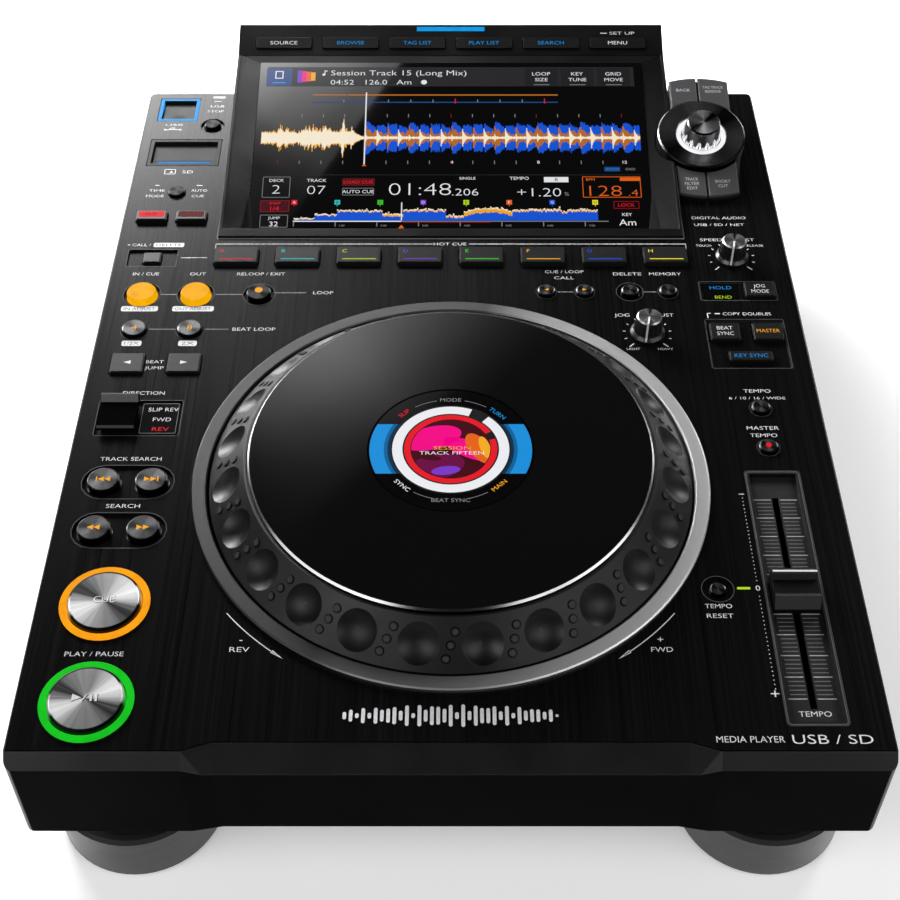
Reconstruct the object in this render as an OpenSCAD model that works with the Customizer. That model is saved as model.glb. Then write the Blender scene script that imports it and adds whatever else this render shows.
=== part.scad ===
// Tabletop media player for DJs: tilted touch display, large jog wheel, tempo fader, cue and play keys.
// Lengths are in millimetres, +X is to the right, +Y to the rear and +Z up.
// The origin is on the floor, under the middle of the bounding box.
// Pieces are drawn about the middle of the top panel's upper face, and seat() lowers them to the floor.

/* [Case] */
// Width of the case
case_w = 329; // [325:0.5:336]
// Depth of the top panel, front to rear
panel_d = 417.2; // [415:0.2:421]
// Height of the case, from its underside to the top panel's upper face
case_h = 49; // [46:0.5:54]
// Thickness of the case walls
wall = 2.8; // [2.4:0.1:3.4]
// Thickness of the top panel
panel_t = 2; // [1.6:0.1:2.4]
// Width of the case's lip around the top panel
lip_w = 0.6; // [0.5:0.1:1]
// Radius of the case's upright corners
corner_r = 3; // [2:0.5:5]
// How far the nose stands in front of the top panel
nose_reach = 5.6; // [5:0.1:7]
// How far the nose chamfer drops at its sides
nose_drop = 5.2; // [4:0.1:7]
// How far the nose chamfer drops in the middle
nose_mid_drop = 11.2; // [9:0.1:12]
// How far the panel's front edge is set back in the middle
mid_setback = 3.8; // [3:0.1:4.5]
// How far the front face is set back in the middle
mid_face_setback = 2; // [1:0.1:2.5]
// Width of the middle stretch of the front
mid_w = 177; // [160:1:190]
// Width of the slanted step at each end of the middle stretch
mid_step_w = 11.3; // [8:0.1:14]
// Thickness of the steel bottom plate
bottom_t = 1.5; // [1:0.1:2]

/* [Feet] */
// Height of the feet, from the floor to the underside of the case
foot_h = 41.5; // [36:0.5:46]
// Radius of a foot's skirt
foot_r = 34.3; // [30:0.1:36]
// Height of a foot's skirt
foot_skirt_h = 25.4; // [20:0.1:28]
// Radius of the neck that joins a foot to the case
foot_neck_r = 23; // [18:0.5:26]
// Thickness of the rubber pad under a foot
foot_pad_t = 1.5; // [1:0.1:3]
// Distance of the feet from the middle of the case, across
foot_x = 129; // [122:0.5:129]
// Distance of the feet from the front and rear faces
foot_inset = 36.6; // [36:0.1:42]

/* [Display] */
// Half width of the display housing
housing_half_w = 115.2; // [114:0.1:115.6]
// Y of the housing's front edge
housing_front = 85.5; // [84:0.1:87]
// Height of the housing's front lip
housing_lip = 1.2; // [0.8:0.1:2]
// Y of the line where the key strip begins
strip_front = 215.5; // [214:0.1:217]
// Height of that line over the top panel
strip_front_z = 20.5; // [20:0.1:21.5]
// Y of the key strip's rear edge
strip_rear = 233.9; // [232:0.1:235]
// Height of the key strip's rear edge over the top panel
strip_rear_z = 27.6; // [27:0.1:29]
// Y of the furthest point of the housing's rear
rear_reach = 238.8; // [237:0.1:241]
// Width of the display's glass
glass_w = 199.6; // [198:0.2:200]
// Y of the glass's front edge
glass_front = 99.1; // [98.5:0.1:100]
// Height of the glass's front edge over the top panel
glass_front_z = -6.7; // [-7.5:0.1:-6.4]
// Length of the glass up its slope
glass_l = 110.6; // [109:0.1:111]
// Slope of the glass in degrees
glass_tilt = 13.6; // [13.2:0.1:13.8]
// Thickness of the display module under its glass
module_t = 4; // [3:0.1:4.5]
// Width of a key on the strip
strip_key_w = 30; // [26:0.5:31]
// Depth of a key on the strip
strip_key_d = 6.9; // [6:0.1:7.5]
// Distance between keys on the strip
strip_key_pitch = 36.3; // [35:0.1:37]

/* [Jog wheel] */
// Y of the jog wheel's axis
jog_y = -73.6; // [-74.5:0.1:-73]
// Outer radius of the fixed ring around the wheel
surround_r = 109.9; // [108.5:0.1:110.5]
// Height of the fixed ring over the panel
surround_h = 2.2; // [1.5:0.1:3]
// Radius of the wheel at its foot
wheel_r = 102.3; // [101:0.1:103]
// Gap between the wheel and the fixed ring
wheel_gap = 1; // [0.6:0.1:1.6]
// Height of the foot of the dimpled slope over the panel
slope_z = 1.5; // [1:0.1:3]
// Radius of the wheel at the top of the dimpled slope
slope_top_r = 86.5; // [86:0.1:88]
// Height of the top of the dimpled slope over the panel
slope_top_z = 16.5; // [15.5:0.1:17]
// Radius of the wheel's top plate
plate_r = 84.8; // [84:0.1:85]
// Height of the wheel's top plate over the panel
plate_z = 18; // [17.6:0.1:18.5]
// Number of dimples
dimples = 24; // [20:1:24]
// Radius of a dimple's rim
dimple_r = 8.5; // [7:0.1:8.8]
// Depth of a dimple
dimple_depth = 2.8; // [1.5:0.1:3]
// Radius of the small studs between the dimples
stud_r = 1.5; // [1.2:0.1:1.8]
// Height of the small studs
stud_h = 0.5; // [0.3:0.1:0.8]
// Radius of the round display in the middle of the wheel
round_display_r = 34.6; // [30:0.2:36]
// Gap between the round display and the wheel's top plate
round_display_gap = 0.4; // [0.3:0.1:0.8]
// Radius of the fixed hub that the wheel turns on
hub_r = 20; // [16:0.5:23]
// Radial clearance of the wheel on its hub
hub_clearance = 0.05; // [0.03:0.01:0.09]

/* [Keys] */
// Gap between a key and its hole
key_gap = 0.5; // [0.45:0.05:0.6]
// Gap between a key's flange and the underside of the panel
flange_gap = 0.4; // [0.3:0.05:0.5]
// How far a key's flange stands out past its hole
flange_w = 1; // [0.6:0.1:1.2]
// Thickness of a key's flange
flange_t = 1.2; // [1:0.1:1.6]
// Depth of the wells round sunken keys
well_depth = 1.2; // [0.6:0.1:1.2]
// Height of the key boards' upper face under the panel
board_drop = 11; // [10:0.5:12]
// Thickness of the circuit boards
board_t = 1.6; // [1.2:0.1:2]
// Gap between a pressed key's plunger and its switch board
plunger_gap = 0.5; // [0.4:0.1:0.8]
// Radius of the play and cue keys
play_r = 14.6; // [13:0.1:14.8]
// Radius of the lit rings around the play and cue keys
play_ring_r = 18; // [17.4:0.1:18.4]
// Height of the lit rings over the panel
play_ring_h = 1.2; // [0.8:0.1:2]
// Height of the play and cue keys over the panel
play_h = 2.4; // [2:0.1:4]
// Travel of the play and cue keys
play_travel = 1.2; // [0.8:0.1:1.5]
// Travel of the small keys
key_travel = 0.8; // [0.5:0.1:1]
// Radius of the track and search keys
search_r = 6.9; // [6:0.1:7.2]
// Height of the track and search keys over the panel
search_h = 2; // [1.5:0.1:3]
// Length of the pill-shaped recesses
pill_l = 39; // [38:0.1:40]
// Width of the pill-shaped recesses
pill_w = 18.6; // [17.5:0.1:19]
// Radius of the loop in and loop out keys
loop_r = 7; // [6.5:0.1:7.2]
// Radius of the wells around the loop in and loop out keys
loop_well_r = 8.6; // [8.4:0.1:9]
// Radius of the reloop key
reloop_r = 5.8; // [5.4:0.1:6]
// Radius of the beat loop keys
beat_r = 5.8; // [5.2:0.1:6]
// Radius of the smallest round keys
small_r = 4.2; // [3.6:0.1:4.4]
// Height of the small round keys over the panel
small_h = 1.6; // [1.2:0.1:2.4]
// Width of the eight hot cue keys
hot_w = 21.4; // [20:0.1:22]
// Depth of the hot cue keys
hot_d = 12; // [11:0.1:13]
// Distance between the hot cue keys
hot_pitch = 29.9; // [29:0.1:30.2]
// Width of the beat jump keys
jump_w = 15; // [14:0.1:15.4]
// Depth of the beat jump keys
jump_d = 12.6; // [11:0.1:13]

/* [Knobs] */
// Radius of the two setting knobs
knob_r = 6.4; // [5.6:0.1:7]
// Height of the two setting knobs
knob_h = 11; // [9:0.1:12]
// Radius of the skirt of the two setting knobs
knob_skirt_r = 8; // [7.4:0.1:8.4]
// Radius of the ring around the selector knob
selector_ring_r = 22.6; // [21:0.1:23]
// Radius of the selector knob at its foot
selector_r = 10; // [9:0.1:10.6]
// Radius of the selector knob at its top
selector_top_r = 7.9; // [7:0.1:8.4]
// Height of the selector knob over its ring
selector_h = 11.5; // [10:0.1:13]
// Number of flutes on the selector knob
selector_flutes = 14; // [10:1:18]

/* [Fader] */
// Width of the tempo fader's tray
tray_w = 22.9; // [22:0.1:24]
// Length of the tempo fader's tray
tray_l = 127.2; // [126:0.2:128]
// Depth of the tray
tray_depth = 2.4; // [1.8:0.1:3]
// Travel of the fader each way from its middle
fader_travel = 50; // [45:0.5:50]
// Width of the fader's cap
fader_w = 18.2; // [17:0.1:19]
// Length of the fader's cap
fader_l = 16.5; // [14:0.1:17]
// Height of the fader's cap over the panel
fader_h = 7; // [6:0.1:9]
// Width of the fader's slot
slot_w = 2.8; // [2.6:0.1:3.2]
// Radius of the rods that the fader's carriage slides on
rod_r = 1.5; // [1.2:0.1:1.6]
// Radial clearance of the carriage on its rods
rod_clearance = 0.05; // [0.03:0.01:0.09]

/* [Hidden] */

$fn = 64;
e = 0.01;

// Case, derived
panel_w = case_w - 2 * lip_w;
front_reach = panel_d / 2 + nose_reach;
mid_y = (rear_reach - front_reach) / 2;
panel_height = foot_h + case_h;
case_rear = panel_d / 2 + lip_w;
mid_front = panel_d / 2 - mid_setback;
mid_face = front_reach - mid_face_setback;
seat_gap = 0.3;
panel_fit = 0.2;
case_edge_r = 3;
mid_half = mid_w / 2;
side_half = mid_half + mid_step_w;
foot_front_y = -front_reach + foot_inset;
foot_rear_y = case_rear - foot_inset;
FEET = [for (x = [-foot_x, foot_x]) for (y = [foot_front_y, foot_rear_y]) [x, y]];

// Screws and the bosses they go into, round the edge of the bottom plate
boss_r = 4.5;
boss_h = 12;
screw_r = 1.5;
screw_fit = 0.05;
screw_l = 9;
screw_head_r = 3;
screw_head_h = bottom_t;
boss_x = case_w / 2 - wall - boss_r + 0.4;
SCREWS = [for (s = [-1, 1]) for (p = [
    [boss_x, -150], [boss_x, 20], [boss_x, 150],
    [60, case_rear - wall - boss_r + 0.4], [60, -mid_face + wall + boss_r - 0.4]
]) [s * p.x, p.y]];

// Sockets in the rear wall, from the middle of the case
socket_z = -26;
inlet_x = 118;
inlet_size = [27.5, 19.5];
power_x = 84;
power_size = [11, 8];
power_proud = 1.2;
lan_x = 18;
lan_size = [15.6, 13.2];
usb_b_x = -8;
usb_b_size = [12, 10.6];
RCA_X = [-72, -90, -108];
rca_flange_r = 6.2;
rca_r = 4.15;
rca_l = 9;
lock_x = -140;

// Control layout about the middle of the panel
left_x = -137.2;
jump_mid_x = -134.5;
slip_mid_x = -139.9;
cue_call_mid_x = 54.8;
play_y = -187.5;
cue_y = -141.2;
search_y = -103.2;
track_y = -76.5;
pair_x = 10.2;
lever_y = -38.6;
lever_x = -146.3;
jump_y = -4.8;
jump_x = 12.9;
beat_y = 18.6;
loop_y = 43.4;
loop_x = 12.8;
reloop_x = -91.5;
hot_y = 70.2;
call_x = -145.9;
call_y = 70.2;
slip_y = 100.6;
slip_x = 9.9;
time_pos = [-139.9, 121.4];
usb_pos = [-147.3, 194.2];
usb_stop_pos = [-127.6, 179.4];
sd_pos = [-139.9, 155.8];
cue_call_y = 45.2;
cue_call_pitch = 18.2;
delete_pos = [85.6, 45.2];
memory_pos = [103.8, 45.2];
vinyl_knob_pos = [137.3, 70.4];
jog_knob_pos = [91.5, 16];
jog_mode_pos = [137.3, 45.9];
sync_pos = [137.5, 9.3];
range_pos = [137.6, -32.8];
master_tempo_pos = [137.7, -56.6];
reset_pos = [106.8, -133.9];
tray_pos = [137.1, -134.1];
fader_y = -136.3;
SMALL_KEYS = [time_pos, usb_stop_pos, delete_pos, memory_pos, range_pos, master_tempo_pos];

// Keys, derived
flange_z = -panel_t - flange_gap;
board_z = -board_drop;
small_well_r = 6.2;
reset_r = 3.4;
ring_w = 2.7;
ring_seat_w = 1.3;
slip_size = [15.2, 7.4];
slip_h = 2.6;
hot_h = 2.4;
call_well = [24, 12.4];
call_size = [8.6, 7.6];
key_h = 1.6;
mode_frame = [36, 13];
mode_key = [14.4, 10.8];
mode_key_x = 10.2;
mode_window = [16.8, 10.8];
mode_window_x = 8;
sync_frame = [36.2, 32.4];
sync_key = [14, 11.8];
sync_key_x = 10;
sync_key_y = 7;
key_sync_size = [20, 6.6];
key_sync_y = -9.6;
frame_depth = 0.6;

// Doors
usb_size = [17.6, 16.6];
usb_frame = [21.2, 20.2];
sd_size = [33.6, 18.6];
sd_frame = [37.2, 22.6];
door_t = 1.6;
door_sink = 1.8;
door_gap = 0.45;
hinge_inset = 1.6;
pin_r = 0.7;
pin_l = 1.3;
pin_clearance = 0.05;
pocket_depth = 7.5;
frame_flange = 2;
notch_r = 4.6;
media_drop = 20;
socket_drop = 8.6;

// Lever
lever_w = 16.4;
lever_l = 19;
window_size = [37, 21.2];
lever_axis_z = -13;
lever_lift = 2;
lever_h = 6.6;
stem_w = 8;
stem_l = 6;
stem_swing = 10.4;
lever_pin_r = 1.5;
lug_t = 2;
direction_window = [16.4, 18.6];
direction_window_x = -128.6;
window_sink = 0.3;

// Selector, on a plane tilted like the display's glass
selector_pos = [129.8, 152.8];
selector_z = 12.5;
selector_tilt = 13.5;
pod_x = [115.9, 146.6];
pod_l = [-39.5, 40];
pod_wall = 1.2;
pod_arc_r = 50;
pod_top = -3;
pod_top_t = 1.6;
pod_hole = [25.9, 65];
pod_split = 0.7;
corner_gap = 1;
corner_key_t = 1.8;
corner_edge = 0.4;
corner_stem = 5;
corner_stem_y = 29;
pod_board_n = -9;
selector_ring_t = 2;
selector_hole_r = 12.9;
selector_shaft_r = 3;
shaft_clearance = 0.05;
selector_recess = -1.2;

// Tempo fader
tray_t = 1.6;
tray_wall = 1.4;
tray_flange = 3;
rod_x = 5.5;
rod_z = -13;
carriage_l = 12;
carriage_w = 16;
carriage_h = 5;
fader_stem = [1.8, 4.6];
fader_base_gap = 0.8;
end_block_t = 4;

// Display housing
rim_w = 1.6;
rim_front = 90.4;
rim_step = 0.2;
strip_tilt = atan2(strip_rear_z - strip_front_z, strip_rear - strip_front);
STRIP_X = [for (i = [0 : 5]) (i - 2.5) * strip_key_pitch];
strip_key_y = 7.7;
strip_key_h = 0.5;
strip_wall = 1.4;
strip_bore_t = 4.2;
strip_mat_drop = 1.8;
strip_mat_w = 5 * strip_key_pitch + strip_key_w + 3;
strip_mat_d = strip_key_d + 3;
status_w = 36.8;
status_y = 16;
status_d = 2.4;
module_lip = 3;
module_half_w = glass_w / 2 + module_lip;
glass_sink = 0.2;
tub_half_w = module_half_w + 2.2;
tub_front = glass_front - module_lip - 3;
tub_rear = 165;
tub_depth = module_t - glass_front_z + 2.8;
housing_wall = 3;

// Jog wheel
surround_skirt = 8;
surround_skirt_r = wheel_r + wheel_gap + 1.3;
wheel_skirt = 6;
slope_l = sqrt(pow(wheel_r - slope_top_r, 2) + pow(slope_top_z - slope_z, 2));
slope_angle = atan2(slope_top_z - slope_z, wheel_r - slope_top_r);
hub_z = -20;
hub_bore_r = 12;
hub_base_r = 45;
web_z = 8;
web_t = 3;
plate_t = 2;
plate_seat_z = plate_z - 2.5;
display_seat_z = 12;
stud_lean = 1.1;
stud_pitch = 5.2;

// Setting knobs
knob_shaft_r = 3;
knob_lift = 0.6;
pot_r = 5.5;
pot_h = 5;

// Circuit boards: where the bosses under the panel hold them, and the main board's standoffs
BOARD_BOSSES = [
    [-157.5, -165], [-116.5, -120], [-115.6, -20], [-157.5, 58], [-116.5, 112], [-157.5, 112],
    [156.5, 62], [156.5, -62], [117.5, -62], [104, 24], [74.8, 45.2], [-60, 81.2], [60, 81.2],
    [115.5, -127.5], [115.5, -140.5], [-121, 187.5]
];
MEDIA_BOSSES = [[-116.5, 142], [-116.5, 164], [-155.5, 175.5], [-126, 200]];
standoff_h = 6.5;
STANDOFFS = [[-98, 22], [98, 22], [-98, 168], [98, 168]];

/* ---------- shared shapes ---------- */

// Lowers a piece drawn about the panel's middle to its place over the floor
module seat() {
    translate([0, -mid_y, panel_height]) children();
}

// A rectangle with round corners
module rrect(size, r) {
    offset(r, $fn = 24) square([size.x - 2 * r, size.y - 2 * r], center = true);
}

// A slot with half-round ends along X
module pill(l, w) {
    square([l - w, w], center = true);
    for (s = [-1, 1]) translate([s * (l - w) / 2, 0]) circle(d = w);
}

// Puts a profile drawn in the YZ plane across the whole width w
module across(w) {
    translate([-w / 2, 0, 0]) rotate([90, 0, 90]) linear_extrude(w) children();
}

// The top panel's outline, with the middle of its front edge set back
module panel_outline(grow = 0) {
    x = panel_w / 2 + grow;
    f = -panel_d / 2 - grow;
    m = -mid_front - grow;
    polygon([
        [-x, f], [-side_half, f], [-mid_half, m], [mid_half, m], [side_half, f], [x, f],
        [x, panel_d / 2 + grow], [-x, panel_d / 2 + grow]
    ]);
}

// A round key: crowned cap, flange under the panel and a plunger over its switch
module round_key(r, h, travel) {
    plunger = board_z + plunger_gap + travel;
    rotate_extrude() polygon([
        [0, plunger], [2, plunger], [2, flange_z - flange_t],
        [r + key_gap + flange_w, flange_z - flange_t], [r + key_gap + flange_w, flange_z], [r, flange_z],
        [r, h - 0.7], [r - 0.25, h - 0.25], [r - 0.8, h], [0, h]
    ]);
}

// A rectangular key with the same flange and plunger
module square_key(size, h, travel) {
    plunger = board_z + plunger_gap + travel;
    b = 0.5;
    linear_extrude(h - b) rrect(size, 0.8);
    translate([0, 0, h - b - e]) linear_extrude(b + e) rrect([size.x - 2 * b, size.y - 2 * b], 0.6);
    translate([0, 0, flange_z - e]) linear_extrude(-flange_z + 2 * e) rrect(size, 0.8);
    fl = 2 * (key_gap + flange_w);
    translate([0, 0, flange_z - flange_t])
        linear_extrude(flange_t) square([size.x + fl, size.y + fl], center = true);
    translate([0, 0, plunger]) cylinder(r = 2, h = flange_z - plunger);
}

// The hole that a rectangular key moves in
module key_hole(size) {
    rrect([size.x + 2 * key_gap, size.y + 2 * key_gap], 0.8 + key_gap);
}

/* ---------- case ---------- */

// The wedge above a sloped chamfer line from (y, 0) to (face, -drop), up to the plane z = 1
module over_chamfer(w, y, face, drop) {
    far = front_reach + 1;
    run = (far - face) / (face - y) * drop;
    across(w) polygon([[-y, 0], [-face, -drop], [-far, -drop - run], [-far, 1], [-y, 1]]);
}

// The case's outer form: round corners, chamfered nose, and a middle stretch set back
module case_form() {
    depth = front_reach + case_rear;
    difference() {
        intersection() {
            across(case_w) polygon([
                [-front_reach, -case_h], [case_rear, -case_h], [case_rear, 0],
                [-panel_d / 2, 0], [-front_reach, -nose_drop]
            ]);
            translate([0, 0, -case_h]) linear_extrude(case_h) difference() {
                translate([0, case_rear - depth / 2]) rrect([case_w, depth], corner_r);
                polygon([
                    [-side_half - mid_step_w, -front_reach - mid_face_setback],
                    [side_half + mid_step_w, -front_reach - mid_face_setback],
                    [mid_half, -mid_face], [-mid_half, -mid_face]
                ]);
            }
            translate([0, case_rear + 1, 0]) rotate([90, 0, 0]) linear_extrude(depth + 2)
                rrect([case_w, 2 * case_h], case_edge_r);
        }
        hull() {
            over_chamfer(mid_w, mid_front, mid_face, nose_mid_drop);
            over_chamfer(2 * side_half, panel_d / 2, front_reach, nose_drop);
        }
    }
}

// The space inside the case, under the panel's ledge
module case_cavity() {
    across(case_w - 2 * wall) polygon([
        [-mid_face + wall, -case_h - 1], [case_rear - wall, -case_h - 1],
        [case_rear - wall, 1], [-mid_front + wall, 1],
        [-mid_front + wall, -nose_mid_drop + wall], [-mid_face + wall, -nose_mid_drop - 2 * wall]
    ]);
}

module upper_case() {
    color("#17181a") seat() difference() {
        union() {
            difference() {
                case_form();
                case_cavity();
            }
            for (p = SCREWS) translate([p.x, p.y, -case_h + bottom_t])
                cylinder(r = boss_r, h = boss_h);
        }
        translate([0, 0, -panel_t]) linear_extrude(panel_t + 1) panel_outline(panel_fit);
        for (p = SCREWS) translate([p.x, p.y, -case_h]) cylinder(r = screw_r + screw_fit, h = screw_l + 1);
        translate([left_x, play_y, -board_drop]) cylinder(r = play_r + 3, h = board_drop);
        rear_cutouts();
    }
}

// The openings in the rear wall around the sockets and the power button
module rear_cutouts() {
    rear_hole(inlet_x) square([inlet_size.x + 2 * seat_gap, inlet_size.y + 2 * seat_gap], center = true);
    rear_hole(power_x) rrect([power_size.x + 2 * key_gap, power_size.y + 2 * key_gap], 1.2);
    rear_hole(lan_x) square([lan_size.x + 2 * seat_gap, lan_size.y + 2 * seat_gap], center = true);
    rear_hole(usb_b_x) square([usb_b_size.x + 2 * seat_gap, usb_b_size.y + 2 * seat_gap], center = true);
    for (x = RCA_X) rear_hole(x) circle(r = rca_flange_r + seat_gap);
    rear_hole(lock_x) rrect([7, 3], 0.6);
}

// A hole through the rear wall, centred on the row of sockets
module rear_hole(x) {
    translate([x, case_rear + 1, socket_z]) rotate([90, 0, 0]) linear_extrude(wall + 2) children();
}

module bottom_plate() {
    w = case_w - 2 * wall - 2 * seat_gap;
    front = -mid_face + wall + seat_gap;
    depth = case_rear - wall - seat_gap - front;
    color("#3a3c40") seat() difference() {
        union() {
            translate([0, front + depth / 2, -case_h]) linear_extrude(bottom_t) rrect([w, depth], 1.5);
            for (p = STANDOFFS) translate([p.x, p.y, -case_h + bottom_t - e])
                cylinder(r = 3, h = standoff_h + e);
        }
        for (p = SCREWS) translate([p.x, p.y, -case_h]) {
            cylinder(r1 = screw_head_r, r2 = screw_r, h = screw_head_h);
            translate([0, 0, -1]) cylinder(r = screw_r, h = bottom_t + 2);
        }
    }
}

module case_screws() {
    color("#2a2b2e") seat() for (p = SCREWS) translate([p.x, p.y, -case_h]) difference() {
        union() {
            cylinder(r1 = screw_head_r, r2 = screw_r, h = screw_head_h);
            cylinder(r = screw_r, h = screw_l);
        }
        for (a = [0, 90]) rotate(a) translate([0, 0, -e]) linear_extrude(0.8) square([3, 0.7], center = true);
    }
}

// A foot: a turned metal skirt over a rubber pad, and the neck that carries the case
module foot() {
    floor_z = -panel_height;
    skirt_z = floor_z + foot_pad_t;
    top = skirt_z + foot_skirt_h;
    rotate_extrude() polygon([
        [0, floor_z], [foot_r - 3, floor_z], [foot_r - 2.4, skirt_z], [foot_r - 0.6, skirt_z],
        [foot_r, skirt_z + 0.6], [foot_r, top - 1.5], [foot_r - 1.5, top], [foot_r - 4.3, top],
        [foot_r - 4.3, top - 0.8], [foot_neck_r, top - 0.8], [foot_neck_r - 1.5, top + 2],
        [foot_neck_r - 1.5, -case_h], [0, -case_h]
    ]);
}

module feet() {
    color("#b9bbbe") seat() for (p = FEET) translate([p.x, p.y, 0]) foot();
}

/* ---------- top panel ---------- */

// The holes through the panel
module panel_holes() {
    translate([0, jog_y]) circle(r = surround_skirt_r + seat_gap, $fn = 128);
    translate([0, (tub_front + tub_rear) / 2])
        square([2 * tub_half_w + 2 * seat_gap, tub_rear - tub_front + 2 * seat_gap], center = true);
    for (y = [play_y, cue_y]) translate([left_x, y]) circle(r = play_ring_r - ring_seat_w + seat_gap);
    for (y = [search_y, track_y], s = [-1, 1]) translate([left_x + s * pair_x, y])
        circle(r = search_r + key_gap);
    translate([lever_x, lever_y]) square([stem_w + 2 * key_gap, stem_swing], center = true);
    translate([direction_window_x, lever_y])
        square([direction_window.x + 2 * seat_gap, direction_window.y + 2 * seat_gap], center = true);
    translate(reset_pos) circle(r = reset_r + key_gap);
    for (s = [-1, 1]) {
        translate([jump_mid_x + s * jump_x, jump_y]) key_hole([jump_w, jump_d]);
        translate([jump_mid_x + s * jump_x, beat_y]) circle(r = beat_r + key_gap);
        translate([jump_mid_x + s * loop_x, loop_y]) circle(r = loop_r + key_gap);
        translate([slip_mid_x + s * slip_x, slip_y]) key_hole(slip_size);
        translate([cue_call_mid_x + s * cue_call_pitch / 2, cue_call_y]) circle(r = small_r + key_gap);
    }
    translate([reloop_x, loop_y]) circle(r = reloop_r + key_gap);
    translate([call_x, call_y]) key_hole(call_size);
    for (p = SMALL_KEYS) translate(p) circle(r = small_r + key_gap);
    translate(usb_pos) square([usb_frame.x + 2 * seat_gap, usb_frame.y + 2 * seat_gap], center = true);
    translate(sd_pos) square([sd_frame.x + 2 * seat_gap, sd_frame.y + 2 * seat_gap], center = true);
    for (i = [0 : 7]) translate([(i - 3.5) * hot_pitch, hot_y]) key_hole([hot_w, hot_d]);
    for (p = [vinyl_knob_pos, jog_knob_pos]) translate(p) circle(r = knob_shaft_r + key_gap);
    translate([jog_mode_pos.x + mode_key_x, jog_mode_pos.y]) key_hole(mode_key);
    translate([jog_mode_pos.x - mode_window_x, jog_mode_pos.y])
        square([mode_window.x + 2 * seat_gap, mode_window.y + 2 * seat_gap], center = true);
    for (s = [-1, 1]) translate([sync_pos.x + s * sync_key_x, sync_pos.y + sync_key_y]) key_hole(sync_key);
    translate([sync_pos.x, sync_pos.y + key_sync_y]) key_hole(key_sync_size);
    translate(tray_pos) square([tray_w + 2 * seat_gap, tray_l + 2 * seat_gap], center = true);
    translate([(pod_x[0] + pod_x[1]) / 2, selector_pos.y + 0.5]) square(pod_hole, center = true);
}

// The shallow recesses in the panel's face
module panel_wells() {
    well(well_depth) for (y = [search_y, track_y]) translate([left_x, y]) pill(pill_l, pill_w);
    well(well_depth) for (s = [-1, 1]) translate([jump_mid_x + s * loop_x, loop_y]) circle(r = loop_well_r);
    well(well_depth) translate([reloop_x, loop_y]) circle(r = reloop_r + 1.6);
    well(well_depth) for (p = [usb_stop_pos, delete_pos, reset_pos]) translate(p) circle(r = small_well_r);
    well(well_depth) translate([call_x, call_y]) rrect(call_well, 1);
    well(well_depth) translate([left_x - 0.5, lever_y]) rrect(window_size, 1);
    well(frame_depth) translate(jog_mode_pos) rrect(mode_frame, 1);
    well(frame_depth) translate(sync_pos) rrect(sync_frame, 1);
}

module well(depth) {
    translate([0, 0, -depth]) linear_extrude(depth + 1) children();
}

module top_panel() {
    color("#1c1d1f") seat() {
        difference() {
            translate([0, 0, -panel_t]) linear_extrude(panel_t) difference() {
                panel_outline();
                panel_holes();
            }
            panel_wells();
        }
        for (p = BOARD_BOSSES) translate([p.x, p.y, board_z])
            cylinder(r = 2.5, h = board_drop - panel_t + e, $fn = 24);
        for (p = MEDIA_BOSSES) translate([p.x, p.y, -media_drop])
            cylinder(r = 2.5, h = media_drop - panel_t + e, $fn = 24);
    }
}

/* ---------- display housing ---------- */

// Moves a piece drawn on the glass's plane, X across and Y up the slope from its front edge
module on_glass() {
    translate([0, glass_front, glass_front_z]) rotate([glass_tilt, 0, 0]) children();
}

// Moves a piece drawn on the key strip's plane, Y up the slope from the line where the strip begins
module on_strip() {
    translate([0, strip_front, strip_front_z]) rotate([strip_tilt, 0, 0]) children();
}

// Height of the housing's rim at y
function rim_z(y) = housing_lip
    + (y - housing_front) * (strip_front_z - housing_lip) / (strip_front - housing_front);

// The sloped recess round the glass, from the rim inwards and down
module screen_recess() {
    hull() {
        on_glass() translate([-glass_w / 2, 0, -0.1]) cube([glass_w, glass_l, 0.1]);
        across(2 * (housing_half_w - rim_w)) polygon([
            [rim_front, rim_z(rim_front) - rim_step], [strip_front, strip_front_z - rim_step],
            [strip_front, strip_rear_z + 5], [rim_front, strip_rear_z + 5]
        ]);
    }
}

// The space inside the housing behind the display
module housing_cavity() {
    across(2 * (housing_half_w - housing_wall)) polygon([
        [tub_rear + housing_wall, -1], [tub_rear + housing_wall, 3.2], [strip_front - 6, 13.2],
        [strip_front + 8, strip_front_z - 3], [rear_reach - 5, strip_rear_z - 10.5],
        [rear_reach - 5, strip_rear_z - 13.2], [case_rear - 3, -1]
    ]);
}

// The housing's solid form, with the tub that goes down through the panel
module housing_form() {
    across(2 * housing_half_w) polygon([
        [housing_front, 0], [housing_front, housing_lip], [strip_front, strip_front_z],
        [strip_rear, strip_rear_z], [strip_rear + 1.4, strip_rear_z - 0.6],
        [rear_reach, strip_rear_z - 9], [rear_reach - 1, strip_rear_z - 14],
        [case_rear + 1, seat_gap], [case_rear - 3, 0]
    ]);
    translate([-tub_half_w, tub_front, -tub_depth])
        cube([2 * tub_half_w, tub_rear - tub_front, tub_depth + e]);
}

// Where the keys, their mat and the status light sit in the strip
module strip_cutouts() {
    for (x = STRIP_X) translate([x, strip_key_y, -strip_bore_t])
        linear_extrude(strip_bore_t + 1) key_hole([strip_key_w, strip_key_d]);
    translate([0, strip_key_y, -strip_bore_t]) linear_extrude(strip_bore_t - strip_wall)
        square([strip_mat_w + 2 * seat_gap, strip_mat_d + 2 * seat_gap], center = true);
    translate([-status_w / 2 - seat_gap, status_y - seat_gap, -1.2])
        cube([status_w + 2 * seat_gap, status_d + 2 * seat_gap, 3]);
}

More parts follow.
